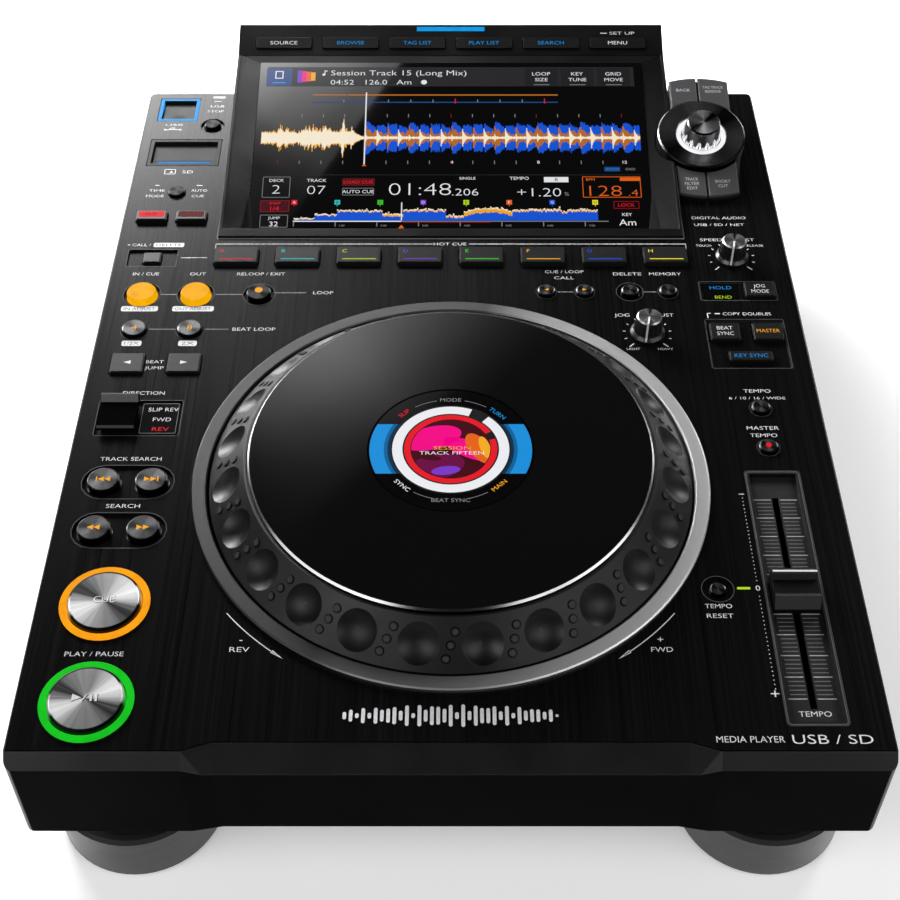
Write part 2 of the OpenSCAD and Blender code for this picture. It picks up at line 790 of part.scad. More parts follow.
module display_housing() {
    color("#202124") seat() difference() {
        difference() {
            union() housing_form();
            screen_recess();
            housing_cavity();
        }
        on_glass() translate([-module_half_w, -module_lip, -module_t])
            cube([2 * module_half_w, glass_l + 2 * module_lip, module_t]);
        on_selector() translate([0, 0, -30]) cylinder(r = selector_ring_r + 0.6, h = 60);
        on_strip() strip_cutouts();
    }
}

module touch_screen() {
    w = 2 * (module_half_w - seat_gap);
    l = glass_l + 2 * (module_lip - seat_gap);
    color("#060709") seat() on_glass() translate([-w / 2, seat_gap - module_lip, -module_t])
        cube([w, l, module_t - glass_sink]);
}

// The six keys on the strip, moulded on one mat
module display_keys() {
    color("#0d0e10") seat() on_strip() {
        for (x = STRIP_X) translate([x, strip_key_y, -strip_mat_drop - e])
            linear_extrude(strip_mat_drop + strip_key_h + e) rrect([strip_key_w, strip_key_d], 0.8);
        translate([0, strip_key_y, -strip_mat_drop - 1]) linear_extrude(1)
            square([strip_mat_w, strip_mat_d], center = true);
    }
}

/* ---------- jog wheel ---------- */

module at_jog() {
    translate([0, jog_y, 0]) children();
}

module jog_surround() {
    inner = wheel_r + wheel_gap;
    color("#8a8c8f") seat() at_jog() rotate_extrude($fn = 128) polygon([
        [inner, -surround_skirt], [surround_skirt_r, -surround_skirt], [surround_skirt_r, 0], [surround_r, 0],
        [surround_r, surround_h - 0.6], [surround_r - 0.6, surround_h], [inner + 0.6, surround_h],
        [inner, surround_h - 0.6]
    ]);
}

module jog_bearing() {
    base = -case_h + bottom_t;
    shoulder = hub_z - seat_gap;
    color("#c7c9cc") seat() at_jog() rotate_extrude($fn = 96) polygon([
        [hub_bore_r, base], [hub_base_r, base], [hub_base_r, base + 3], [hub_r + 9, base + 3],
        [hub_r + 5, shoulder], [hub_r, shoulder], [hub_r, display_seat_z], [hub_bore_r, display_seat_z]
    ]);
}

module round_display() {
    top = plate_z - 0.3;
    color("#0a0b0d") seat() at_jog() rotate_extrude($fn = 96) polygon([
        [0, display_seat_z], [hub_r + 4, display_seat_z], [round_display_r - 2, top - 3],
        [round_display_r, top - 3], [round_display_r, top - 0.3], [round_display_r - 0.3, top], [0, top]
    ]);
}

// Places a child on the dimpled slope at angle a and distance d up the slope
module on_slope(a, d) {
    rotate(a) translate([wheel_r, 0, slope_z]) rotate([0, slope_angle, 0]) translate([-d, 0, 0])
        children();
}

module jog_wheel() {
    inner = hub_r + hub_clearance;
    step = 360 / dimples;
    cut_r = (dimple_r * dimple_r + dimple_depth * dimple_depth) / (2 * dimple_depth);
    mid = slope_l / 2;
    color("#232427") seat() at_jog() {
        difference() {
            rotate_extrude($fn = 128) polygon([
                [inner, hub_z], [hub_r + 6, hub_z], [hub_r + 6, web_z], [slope_top_r - 8, web_z],
                [wheel_r - 8, slope_z - 2], [wheel_r - 3, -wheel_skirt], [wheel_r, -wheel_skirt],
                [wheel_r, slope_z], [slope_top_r, slope_top_z], [plate_r + 0.6, slope_top_z],
                [plate_r + 0.6, plate_seat_z], [plate_r - 6, plate_seat_z], [plate_r - 6, web_z + web_t],
                [round_display_r + 4, web_z + web_t], [round_display_r + 4, plate_z - plate_t],
                [round_display_r + 1.4, plate_z - plate_t], [round_display_r + 1.4, web_z + web_t],
                [hub_r + 1, web_z + web_t], [inner, web_z + web_t - 1]
            ]);
            for (i = [0 : dimples - 1]) on_slope(i * step + step / 2, mid)
                translate([0, 0, cut_r - dimple_depth]) sphere(r = cut_r);
        }
        for (i = [0 : dimples - 1], k = [-1, 0, 1])
            on_slope(i * step + k * stud_lean, mid + k * stud_pitch)
                translate([0, 0, -0.5]) cylinder(r = stud_r, h = stud_h + 0.5, $fn = 24);
    }
}

module jog_top_plate() {
    inner = round_display_r + round_display_gap;
    color("#101113") seat() at_jog() rotate_extrude($fn = 128) polygon([
        [inner, plate_z - plate_t], [inner, plate_z], [plate_r - 0.8, plate_z], [plate_r, plate_z - 0.8],
        [plate_r, plate_seat_z], [plate_r - 5, plate_seat_z], [plate_r - 5, plate_z - plate_t]
    ]);
}

/* ---------- round keys ---------- */

module at(p) {
    translate([p.x, p.y, 0]) children();
}

module play_button() {
    color("#8e9093") seat() at([left_x, play_y]) round_key(play_r, play_h, play_travel);
}

module cue_button() {
    color("#8e9093") seat() at([left_x, cue_y]) round_key(play_r, play_h, play_travel);
}

module search_key(x, y) {
    color("#3c3d40") seat() at([left_x + x, y]) round_key(search_r, search_h, key_travel);
}

module track_back_button() {
    search_key(-pair_x, track_y);
}

module track_next_button() {
    search_key(pair_x, track_y);
}

module search_back_button() {
    search_key(-pair_x, search_y);
}

module search_forward_button() {
    search_key(pair_x, search_y);
}

module loop_in_button() {
    color("#ffa51e") seat() at([jump_mid_x - loop_x, loop_y]) round_key(loop_r, search_h, key_travel);
}

module loop_out_button() {
    color("#ffa51e") seat() at([jump_mid_x + loop_x, loop_y]) round_key(loop_r, search_h, key_travel);
}

module reloop_button() {
    color("#2a2a2c") seat() at([reloop_x, loop_y]) round_key(reloop_r, search_h, key_travel);
}

module beat_loop_4_button() {
    color("#252628") seat() at([jump_mid_x - jump_x, beat_y]) round_key(beat_r, small_h, key_travel);
}

module beat_loop_8_button() {
    color("#252628") seat() at([jump_mid_x + jump_x, beat_y]) round_key(beat_r, small_h, key_travel);
}

module small_key(p) {
    color("#303134") seat() at(p) round_key(small_r, small_h, key_travel);
}

module time_mode_button() {
    small_key(time_pos);
}

module usb_stop_button() {
    small_key(usb_stop_pos);
}

module cue_call_back_button() {
    small_key([cue_call_mid_x - cue_call_pitch / 2, cue_call_y]);
}

module cue_call_forward_button() {
    small_key([cue_call_mid_x + cue_call_pitch / 2, cue_call_y]);
}

module delete_button() {
    small_key(delete_pos);
}

module memory_button() {
    small_key(memory_pos);
}

module tempo_range_button() {
    small_key(range_pos);
}

module master_tempo_button() {
    small_key(master_tempo_pos);
}

module tempo_reset_button() {
    color("#303134") seat() at(reset_pos) round_key(reset_r, 0.4, key_travel);
}

/* ---------- rectangular keys ---------- */

module beat_jump_back_button() {
    color("#1a1b1d") seat() at([jump_mid_x - jump_x, jump_y]) square_key([jump_w, jump_d], key_h, key_travel);
}

module beat_jump_forward_button() {
    color("#1a1b1d") seat() at([jump_mid_x + jump_x, jump_y]) square_key([jump_w, jump_d], key_h, key_travel);
}

module call_delete_button() {
    color("#4a4b4e") seat() at([call_x, call_y]) square_key(call_size, 0.6, key_travel);
}

module slip_button() {
    color("#242528") seat() at([slip_mid_x - slip_x, slip_y]) square_key(slip_size, slip_h, key_travel);
}

module quantize_button() {
    color("#242528") seat() at([slip_mid_x + slip_x, slip_y]) square_key(slip_size, slip_h, key_travel);
}

// The eight keys in a row, moulded on one mat
module hot_cue_keys() {
    w = 7 * hot_pitch + hot_w + 2 * (key_gap + flange_w);
    color("#26272a") seat() translate([0, hot_y, 0]) {
        for (i = [0 : 7]) translate([(i - 3.5) * hot_pitch, 0, 0])
            square_key([hot_w, hot_d], hot_h, key_travel);
        translate([0, 0, flange_z - flange_t]) linear_extrude(flange_t)
            square([w, hot_d - 4], center = true);
    }
}

module jog_mode_button() {
    color("#202124") seat() at([jog_mode_pos.x + mode_key_x, jog_mode_pos.y])
        square_key(mode_key, key_h, key_travel);
}

module beat_sync_button() {
    color("#202124") seat() at([sync_pos.x - sync_key_x, sync_pos.y + sync_key_y])
        square_key(sync_key, key_h, key_travel);
}

module master_button() {
    color("#202124") seat() at([sync_pos.x + sync_key_x, sync_pos.y + sync_key_y])
        square_key(sync_key, key_h, key_travel);
}

module key_sync_button() {
    color("#202124") seat() at([sync_pos.x, sync_pos.y + key_sync_y])
        square_key(key_sync_size, key_h, key_travel);
}

// The button in the rear wall, with its collar behind the wall
module power_button() {
    inner = case_rear - wall;
    color("#1a1b1d") seat() translate([power_x, case_rear + power_proud, socket_z]) rotate([90, 0, 0]) {
        linear_extrude(case_rear + power_proud - inner + 14) rrect(power_size, 0.8);
        translate([0, 0, case_rear + power_proud - inner + flange_gap]) linear_extrude(flange_t)
            square([power_size.x + 3, power_size.y + 3], center = true);
    }
}

/* ---------- lever ---------- */

module direction_lever() {
    r = lever_l / 2;
    color("#1d1e20") seat() at([lever_x, lever_y]) {
        across(lever_w) polygon([
            [-r, lever_lift], [-r, lever_h - 3.2], [-r + 1, lever_h - 2.4], [r - 3.4, lever_h - 2.8],
            [r - 1.6, lever_h - 0.4], [r - 0.8, lever_h], [r, lever_h - 0.6], [r, lever_lift],
            [stem_l, lever_lift], [stem_l - 1, 0.3], [1 - stem_l, 0.3], [-stem_l, lever_lift]
        ]);
        across(stem_w) polygon([
            [-stem_l / 2, 1], [-stem_l / 2, lever_axis_z], [stem_l / 2, lever_axis_z], [stem_l / 2, 1]
        ]);
        translate([0, 0, lever_axis_z]) rotate([0, 90, 0]) {
            translate([0, 0, -stem_w / 2]) cylinder(d = stem_l, h = stem_w);
            translate([0, 0, -stem_w / 2 - lug_t - 1])
                cylinder(r = lever_pin_r, h = stem_w + 2 * lug_t + 2, $fn = 32);
        }
    }
}

/* ---------- doors ---------- */

// A door hinged at its rear edge, with a pin at each end, and a finger notch if notch is set
module door(size, notch = 0) {
    axis_y = size.y / 2 - hinge_inset;
    axis_z = -door_sink - door_t / 2;
    front = -size.y / 2 + door_gap;
    w = size.x - 2 * door_gap;
    difference() {
        union() {
            translate([-w / 2, front, axis_z - door_t / 2]) cube([w, axis_y - front, door_t]);
            translate([-w / 2, axis_y, axis_z]) rotate([0, 90, 0]) cylinder(d = door_t, h = w, $fn = 32);
        }
        if (notch > 0) translate([0, front - notch / 2, -door_sink - door_t / 2])
            cylinder(r = notch, h = door_t);
    }
    translate([-w / 2 - door_gap - pin_l, axis_y, axis_z]) rotate([0, 90, 0])
        cylinder(r = pin_r, h = w + 2 * (door_gap + pin_l), $fn = 24);
}

// The frame that a door sits in: walls, a flange under the panel and bores for the pins
module door_frame(outer, size) {
    axis_y = size.y / 2 - hinge_inset;
    axis_z = -door_sink - door_t / 2;
    bore_l = size.x + 2 * pin_l + 0.4;
    difference() {
        union() {
            translate([0, 0, -pocket_depth]) linear_extrude(pocket_depth) rrect(outer, 0.8);
            translate([0, 0, -panel_t - 1.2]) linear_extrude(1.2)
                square([outer.x + 2 * frame_flange, outer.y + 2 * frame_flange], center = true);
        }
        translate([0, 0, -pocket_depth - 1]) linear_extrude(pocket_depth + 2) square(size, center = true);
        translate([-bore_l / 2, axis_y, axis_z]) rotate([0, 90, 0])
            cylinder(r = pin_r + pin_clearance, h = bore_l, $fn = 24);
    }
}

module usb_cover() {
    color("#5b5d60") seat() at(usb_pos) door(usb_size, notch_r);
}

module sd_door() {
    color("#6b6d70") seat() at(sd_pos) door(sd_size);
}

/* ---------- lit pieces ---------- */

// A lit ring round a key: a collar on the panel with a tube that goes down into the hole
module lit_ring() {
    inner = play_ring_r - ring_w;
    rotate_extrude() polygon([
        [inner, -panel_t + 0.2], [play_ring_r - ring_seat_w, -panel_t + 0.2], [play_ring_r - ring_seat_w, 0],
        [play_ring_r, 0], [play_ring_r, play_ring_h - 0.5], [play_ring_r - 0.5, play_ring_h],
        [inner + 0.3, play_ring_h], [inner, play_ring_h - 0.3]
    ]);
}

// A window that fills a hole in the panel from below
module window(size) {
    translate([0, 0, -panel_t - 1.2]) linear_extrude(1.2)
        square([size.x + 1.6, size.y + 2 * frame_flange], center = true);
    translate([0, 0, -panel_t - e]) linear_extrude(panel_t - window_sink + e) square(size, center = true);
}

module lit_pieces() {
    color("#9fd6ff") seat() {
        for (y = [play_y, cue_y]) at([left_x, y]) lit_ring();
        at(usb_pos) door_frame(usb_frame, usb_size);
        at(sd_pos) door_frame(sd_frame, sd_size);
        at([direction_window_x, lever_y]) window(direction_window);
        at([jog_mode_pos.x - mode_window_x, jog_mode_pos.y]) window(mode_window);
        on_strip() translate([-status_w / 2, status_y, -1.2]) cube([status_w, status_d, 1.3]);
        on_selector() translate([0, 0, selector_recess]) difference() {
            cylinder(r = selector_hole_r - 0.1, h = 1.8);
            translate([0, 0, -1]) cylinder(r = selector_r + 0.5, h = 4);
        }
    }
}

/* ---------- selector ---------- */

// Moves a piece drawn about the selector's axis on its tilted plane
module on_selector() {
    translate([selector_pos.x, selector_pos.y, selector_z]) rotate([selector_tilt, 0, 0]) children();
}

// The pod's outline on the tilted plane, with bowed front and rear ends
module pod_outline() {
    mid_l = (pod_l[0] + pod_l[1]) / 2;
    half_l = (pod_l[1] - pod_l[0]) / 2;
    intersection() {
        translate([pod_x[0] - selector_pos.x, pod_l[0]])
            square([pod_x[1] - pod_x[0], pod_l[1] - pod_l[0]]);
        translate([pod_split, mid_l + half_l - pod_arc_r]) circle(r = pod_arc_r, $fn = 128);
        translate([pod_split, mid_l - half_l + pod_arc_r]) circle(r = pod_arc_r, $fn = 128);
    }
}

module selector_base() {
    deep = 26;
    color("#141517") seat() {
        intersection() {
            translate([selector_pos.x - 40, selector_pos.y - 60, 0]) cube([80, 120, 60]);
            on_selector() {
                difference() {
                    union() {
                        translate([0, 0, pod_top - deep]) linear_extrude(deep) pod_outline();
                        translate([0, 0, -deep]) rotate_extrude() polygon([
                            [0, 0], [selector_ring_r, 0], [selector_ring_r, deep + selector_ring_t - 0.6],
                            [selector_ring_r - 0.6, deep + selector_ring_t],
                            [selector_hole_r + 0.3, deep + selector_ring_t - 0.8],
                            [selector_hole_r, deep + selector_ring_t - 1.1], [0, deep + selector_ring_t - 1.1]
                        ]);
                    }
                    translate([0, 0, selector_recess]) cylinder(r = selector_hole_r, h = 10);
                    translate([0, 0, -deep - 5])
                        cylinder(r = selector_ring_r - 2, h = deep + 5 + selector_recess - 2);
                    translate([0, 0, -deep - 5]) linear_extrude(deep + 5 + pod_top - pod_top_t)
                        offset(delta = -pod_wall) pod_outline();
                    for (x = [corner_x(-1), corner_x(1)], y = [-corner_stem_y, corner_stem_y])
                        translate([x, y, -deep]) linear_extrude(deep)
                            square(corner_stem + 2 * key_gap, center = true);
                    translate([0, 0, -deep])
                        cylinder(r = selector_shaft_r + shaft_clearance, h = deep, $fn = 48);
                }
                for (y = [-1, 1]) translate([pod_split, y * 27.5, pod_board_n])
                    cylinder(r = 2.2, h = pod_top - pod_board_n - 0.5, $fn = 24);
                translate([0, 0, pod_board_n + 1.4]) difference() {
                    cylinder(r = 6, h = selector_recess - pod_board_n - 2);
                    translate([0, 0, -1]) cylinder(r = selector_shaft_r + shaft_clearance, h = 20, $fn = 48);
                }
            }
        }
    }
}

// Middle of the left (-1) or right (1) column of corner keys
function corner_x(s) = (pod_x[s < 0 ? 0 : 1] - selector_pos.x + pod_split + s * corner_gap / 2) / 2;

// A corner key between the ring and the pod's edge: s is -1 for left, t is -1 for front
module corner_key(s, t) {
    color("#77797c") seat() on_selector() {
        for (edge = [0, corner_edge]) translate([0, 0, -corner_key_t])
            linear_extrude(corner_key_t - corner_edge + edge) offset(delta = -edge) difference() {
                intersection() {
                    pod_outline();
                    translate([pod_split + s * (25 + corner_gap / 2), t * 30])
                        square([50, 60], center = true);
                }
                circle(r = selector_ring_r + corner_gap);
            }
        translate([corner_x(s), t * corner_stem_y, pod_board_n + plunger_gap + key_travel])
            linear_extrude(-pod_board_n - corner_key_t - plunger_gap - key_travel + e)
                square(corner_stem, center = true);
    }
}

module back_button() {
    corner_key(-1, 1);
}

module tag_track_button() {
    corner_key(1, 1);
}

module track_filter_button() {
    corner_key(-1, -1);
}

module shortcut_button() {
    corner_key(1, -1);
}

module selector_knob() {
    color("#c4c6c9") seat() on_selector() {
        difference() {
            rotate_extrude() polygon([
                [0, -0.4], [selector_r, -0.4], [selector_r, 1.4], [selector_top_r + 0.5, selector_h - 1.2],
                [selector_top_r, selector_h - 0.3], [0, selector_h - 0.9]
            ]);
            for (i = [0 : selector_flutes - 1]) rotate(i * 360 / selector_flutes)
                translate([selector_r + 0.9, 0, 1.2]) cylinder(r = 1.7, h = selector_h - 4.2, $fn = 24);
        }
        translate([0, 0, pod_board_n + 0.6]) cylinder(r = selector_shaft_r, h = -pod_board_n - 0.6, $fn = 48);
    }
}

/* ---------- setting knobs ---------- */

module setting_knob(p) {
    color("#1c1d1f") seat() at(p) difference() {
        union() {
            rotate_extrude() polygon([
                [0, knob_lift], [knob_skirt_r, knob_lift], [knob_skirt_r, 1.6], [knob_r + 0.3, 3.2],
                [knob_r - 0.6, knob_h - 0.6], [knob_r - 1.2, knob_h], [0, knob_h]
            ]);
            translate([0, 0, board_z + 0.6]) cylinder(r = knob_shaft_r, h = 1 - board_z, $fn = 48);
        }
        for (i = [1 : 15]) rotate(90 + i * 22.5) translate([knob_r + 0.6, 0, 3])
            cylinder(r = 1, h = 10, $fn = 16);
    }
}

module vinyl_speed_knob() {
    setting_knob(vinyl_knob_pos);
}

module jog_adjust_knob() {
    setting_knob(jog_knob_pos);
}

/* ---------- tempo fader ---------- */

module fader_track() {
    slot_l = 2 * fader_travel + fader_stem.y + 1;
    block_y = fader_travel + carriage_l / 2 + 1;
    color("#2b2c2f") seat() {
        at(tray_pos) difference() {
            union() {
                translate([0, 0, -tray_depth - tray_t]) linear_extrude(tray_depth + tray_t)
                    rrect([tray_w, tray_l], 1.6);
                translate([0, 0, -panel_t - 1.2]) linear_extrude(1.2)
                    square([tray_w + 2 * tray_flange, tray_l + 2 * tray_flange], center = true);
            }
            translate([0, 0, -tray_depth]) linear_extrude(tray_depth + 1)
                rrect([tray_w - 2 * tray_wall, tray_l - 2 * tray_wall], 1.2);
            translate([0, fader_y - tray_pos.y, -tray_depth - tray_t - 1]) linear_extrude(tray_t + 2)
                square([slot_w, slot_l], center = true);
        }
        at([tray_pos.x, fader_y]) {
            for (s = [-1, 1]) {
                translate([-carriage_w / 2, s * (block_y + end_block_t / 2) - end_block_t / 2, rod_z - 3])
                    cube([carriage_w, end_block_t, -rod_z + 3 - tray_depth - tray_t + e]);
                translate([s * rod_x, block_y + 1, rod_z]) rotate([90, 0, 0])
                    cylinder(r = rod_r, h = 2 * block_y + 2, $fn = 48);
            }
        }
    }
}

module tempo_fader() {
    r = fader_l / 2;
    base = fader_base_gap - tray_depth;
    color("#222326") seat() at([tray_pos.x, fader_y]) {
        across(fader_w) polygon([
            [-r, base], [-r, 0.6], [-r + 3, fader_h - 1.5], [-r + 4, fader_h - 1.4],
            [-r + 5.6, fader_h - 2.9], [r - 4.4, fader_h - 2.6], [r - 3.2, fader_h - 0.1],
            [r - 1, fader_h], [r, fader_h - 0.8], [r, base]
        ]);
        translate([-fader_stem.x / 2, -fader_stem.y / 2, rod_z])
            cube([fader_stem.x, fader_stem.y, base - rod_z + e]);
        difference() {
            translate([-carriage_w / 2, -carriage_l / 2, rod_z - carriage_h / 2])
                cube([carriage_w, carriage_l, carriage_h]);
            for (s = [-1, 1]) translate([s * rod_x, carriage_l, rod_z]) rotate([90, 0, 0])
                cylinder(r = rod_r + rod_clearance, h = 2 * carriage_l, $fn = 48);
        }
    }
}

/* ---------- circuit boards ---------- */

module board(x, y) {
    translate([x[0], y[0], board_z - board_t]) cube([x[1] - x[0], y[1] - y[0], board_t]);
}

// The switch body under the lever: two lugs that hold the lever's pin
module lever_bracket() {
    at([lever_x, lever_y]) for (s = [-1, 1])
        translate([s * (stem_w + lug_t + 0.8) / 2 - lug_t / 2, 0, 0]) difference() {
            translate([0, -5, lever_axis_z - 3.2]) cube([lug_t, 10, 7.2]);
            translate([-1, 0, lever_axis_z]) rotate([0, 90, 0])
                cylinder(r = lever_pin_r + pin_clearance, h = lug_t + 2, $fn = 32);
        }
}

// A socket that the shaft of a setting knob turns in
module pot(p) {
    at(p) translate([0, 0, board_z - e]) difference() {
        cylinder(r = pot_r, h = pot_h);
        translate([0, 0, e]) cylinder(r = knob_shaft_r + shaft_clearance, h = pot_h, $fn = 48);
    }
}

module circuit_boards() {
    main_z = -case_h + bottom_t + standoff_h;
    color("#1f5a3a") seat() {
        difference() {
            union() {
                board([-160.5, -112.5], [-201, 128]);
                board([-113, -84], [36, 51]);
            }
            translate([lever_x - stem_w / 2 - 0.4, lever_y - 7, board_z - 5]) cube([stem_w + 0.8, 14, 10]);
            translate([lever_x - stem_w / 2 - lug_t - 1.6, lever_y - 2, board_z - 5])
                cube([stem_w + 2 * lug_t + 3.2, 4, 10]);
        }
        lever_bracket();
        board([-111, 111], [53.5, 84]);
        board([114, 160], [-66, 80]);
        board([82, 114.5], [5, 36]);
        board([28, 114.5], [35.5, 52.5]);
        board([99, 119], [-144, -124]);
        board([-134, -117.5], [171, 191]);
        pot(vinyl_knob_pos);
        pot(jog_knob_pos);
        on_selector() translate([-10.5, -32, pod_board_n - board_t]) cube([23, 64, board_t]);
        translate([-105, 15, main_z]) cube([210, 160, board_t]);
        translate([-160, 138, -media_drop - board_t]) cube([46, 65.5, board_t]);
        at(usb_pos) usb_a_socket();
        at(sd_pos) sd_socket();
    }
}

// The socket under the USB cover, standing on the media board
module usb_a_socket() {
    translate([0, 0, -media_drop - e]) difference() {
        linear_extrude(media_drop - socket_drop) square([14.5, 7.1], center = true);
        translate([0, 0, 2]) linear_extrude(media_drop) difference() {
            square([12.5, 5.1], center = true);
            translate([0, 1, 0]) square([11, 1.8], center = true);
        }
    }
}

// The card slot under the SD door
module sd_socket() {
    translate([0, 0, -media_drop - e]) difference() {
        linear_extrude(media_drop - socket_drop) square([29, 6.5], center = true);
        translate([0, 0, 2]) linear_extrude(media_drop) square([24.6, 2.5], center = true);
    }
}

/* ---------- rear ---------- */

// Moves a socket drawn about its axis, Z outwards, to the rear wall at x
module at_rear(x) {
    translate([x, case_rear, socket_z]) rotate([-90, 0, 0]) children();
}

// A rectangular socket body through the rear wall, held by a flange behind it
module socket_body(size, depth) {
    translate([0, 0, -wall - depth]) linear_extrude(wall + depth) square(size, center = true);
    translate([0, 0, -wall - 2]) linear_extrude(2) square([size.x + 5, size.y + 5], center = true);
}

module rear_connectors() {
    color("#2c2d30") seat() {
        at_rear(inlet_x) difference() {
            socket_body(inlet_size, 15);
            translate([0, 0, -14]) linear_extrude(15) difference() {
                square([24.4, 16.2], center = true);
                for (x = [-7, 0, 7]) translate([x, x == 0 ? -2.5 : 2.5]) square([2, 4.5], center = true);
            }
            translate([0, 0, -5]) linear_extrude(6) square([24.4, 16.2], center = true);
        }
        at_rear(lan_x) difference() {
            socket_body(lan_size, 12);
            translate([0, 0, -11]) linear_extrude(12) {
                square([11.8, 7.2], center = true);
                translate([0, 4]) square([5, 3], center = true);
            }
        }
        at_rear(usb_b_x) difference() {
            socket_body(usb_b_size, 12);
            translate([0, 0, -11]) linear_extrude(12) difference() {
                square([8.6, 7.8], center = true);
                square([5.6, 3.2], center = true);
            }
        }
        for (x = RCA_X) at_rear(x) difference() {
            union() {
                translate([0, 0, -wall - 8]) cylinder(r = rca_flange_r, h = wall + 8.8);
                translate([0, 0, -wall - 2]) cylinder(r = rca_flange_r + 2, h = 2);
                cylinder(r = rca_r, h = rca_l);
            }
            cylinder(r = 1.65, h = rca_l + 1, $fn = 32);
        }
    }
}

upper_case();
bottom_plate();
top_panel();
display_housing();
touch_screen();
jog_surround();
jog_bearing();
round_display();
feet();
rear_connectors();
fader_track();
selector_base();
lit_pieces();
circuit_boards();
case_screws();
jog_wheel();
jog_top_plate();
play_button();
cue_button();
track_back_button();
track_next_button();
search_back_button();
search_forward_button();
direction_lever();
beat_jump_back_button();
beat_jump_forward_button();
beat_loop_4_button();
beat_loop_8_button();
loop_in_button();
loop_out_button();
reloop_button();
call_delete_button();
slip_button();
quantize_button();
time_mode_button();
usb_stop_button();
usb_cover();
sd_door();
hot_cue_keys();
display_keys();
cue_call_back_button();
cue_call_forward_button();
delete_button();
memory_button();
selector_knob();
back_button();
tag_track_button();
track_filter_button();
shortcut_button();
vinyl_speed_knob();
jog_adjust_knob();
jog_mode_button();
beat_sync_button();
master_button();
key_sync_button();
tempo_range_button();
master_tempo_button();
tempo_reset_button();
tempo_fader();
power_button();
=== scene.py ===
import bpy
import bmesh
import random
from math import asin, atan2, cos, degrees, dist, exp, hypot, pi, radians, sin
from mathutils import Matrix, Vector


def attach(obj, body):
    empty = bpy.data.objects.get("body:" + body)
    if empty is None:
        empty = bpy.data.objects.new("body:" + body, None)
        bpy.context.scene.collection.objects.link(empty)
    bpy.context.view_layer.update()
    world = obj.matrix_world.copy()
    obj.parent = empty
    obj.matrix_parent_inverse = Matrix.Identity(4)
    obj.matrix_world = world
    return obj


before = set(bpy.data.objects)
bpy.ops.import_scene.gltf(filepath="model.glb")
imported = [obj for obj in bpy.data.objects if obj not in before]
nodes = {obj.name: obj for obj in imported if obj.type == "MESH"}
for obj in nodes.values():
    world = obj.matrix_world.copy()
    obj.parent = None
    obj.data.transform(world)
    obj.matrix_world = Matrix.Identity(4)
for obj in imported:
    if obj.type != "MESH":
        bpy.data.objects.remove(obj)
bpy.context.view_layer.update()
random.seed(7)
scene = bpy.context.scene
MM = 0.001
SHIFT_Y, SHIFT_Z = -12.3, 90.5    # from the panel's middle to the floor under the box's middle


def place(x, y, z):
    """A point about the panel's middle, in mm, as a point of the frame in metres"""
    return Vector((x * MM, (y + SHIFT_Y) * MM, (z + SHIFT_Z) * MM))


def add(name, data):
    """A new object in the scene"""
    o = bpy.data.objects.new(name, data)
    scene.collection.objects.link(o)
    return o


def plane(x, y, z, tilt=0.0):
    """Matrix from mm on a plane to the frame"""
    return Matrix.Translation(place(x, y, z)) @ Matrix.Rotation(radians(tilt), 4, "X") @ Matrix.Scale(MM, 4)


# places on the panel, in mm about its middle; angles in degrees
WHEEL_Y = -73.6
POD_AT, POD_TILT = (129.8, 152.8, 12.5), 13.5
FADER_AT = (137.1, -136.3)
KNOBS = dict(vinyl_speed_knob=(137.3, 70.4), jog_adjust_knob=(91.5, 16))
PANEL = plane(0, 0, 0)
GLASS = plane(0, 99.1, -6.7, 13.6)
STRIP = plane(0, 215.5, 20.5, 21.1)
POD = plane(*POD_AT, POD_TILT)
JOG = plane(0, WHEEL_Y, 0)

# ---------- camera ----------
cam_data = bpy.data.cameras.new("camera")
cam = add("camera", cam_data)
# solved from the photo's outlines
CAMERA_AT, CAMERA_PITCH, LENS_MM, SENSOR_MM, SHIFT_X = (0, -0.5313, 0.5863), 42.92, 62.55, 36, -0.0008
cam.location = CAMERA_AT
cam.rotation_euler = (radians(CAMERA_PITCH), 0, 0)
cam_data.lens = LENS_MM
cam_data.sensor_width = SENSOR_MM
cam_data.shift_x = SHIFT_X
cam_data.clip_start = 0.05
cam_data.clip_end = 50
scene.camera = cam
scene.view_settings.view_transform = "Standard"


# ---------- materials ----------
def grey(v, blue=None):
    return v, v, v if blue is None else blue


class Nodes:
    """Short calls that build a node tree"""

    def __init__(self, tree):
        self.tree = tree

    def node(self, kind, **values):
        n = self.tree.nodes.new("ShaderNode" + kind)
        for k, v in values.items():
            if hasattr(n, k):
                setattr(n, k, v)
            else:
                n.inputs[k].default_value = v
        return n

    def link(self, a, b):
        self.tree.links.new(a, b)

    def math(self, op, a, b=0.0):
        n = self.node("Math", operation=op)
        for i, v in enumerate((a, b)):
            if isinstance(v, (int, float)):
                n.inputs[i].default_value = v
            else:
                self.link(v, n.inputs[i])
        return n.outputs[0]

    def add(self, a, b):
        return self.math("ADD", a, b)

    def sub(self, a, b):
        return self.math("SUBTRACT", a, b)

    def mul(self, a, b):
        return self.math("MULTIPLY", a, b)

    def ramp(self, fac, lo, hi, a=0.0, b=1.0):
        n = self.node("MapRange")
        for k, v in (("From Min", lo), ("From Max", hi), ("To Min", a), ("To Max", b)):
            n.inputs[k].default_value = v
        self.link(fac, n.inputs["Value"])
        return n.outputs["Result"]

    def mix(self, fac, a, b):
        """Colour from a to b by fac; a and b are colours or sockets"""
        n = self.node("Mix", data_type="RGBA")
        for i, v in ((6, a), (7, b)):
            if isinstance(v, (tuple, list)):
                n.inputs[i].default_value = (*v, 1)
            else:
                self.link(v, n.inputs[i])
        self.link(fac, n.inputs[0])
        return n.outputs[2]


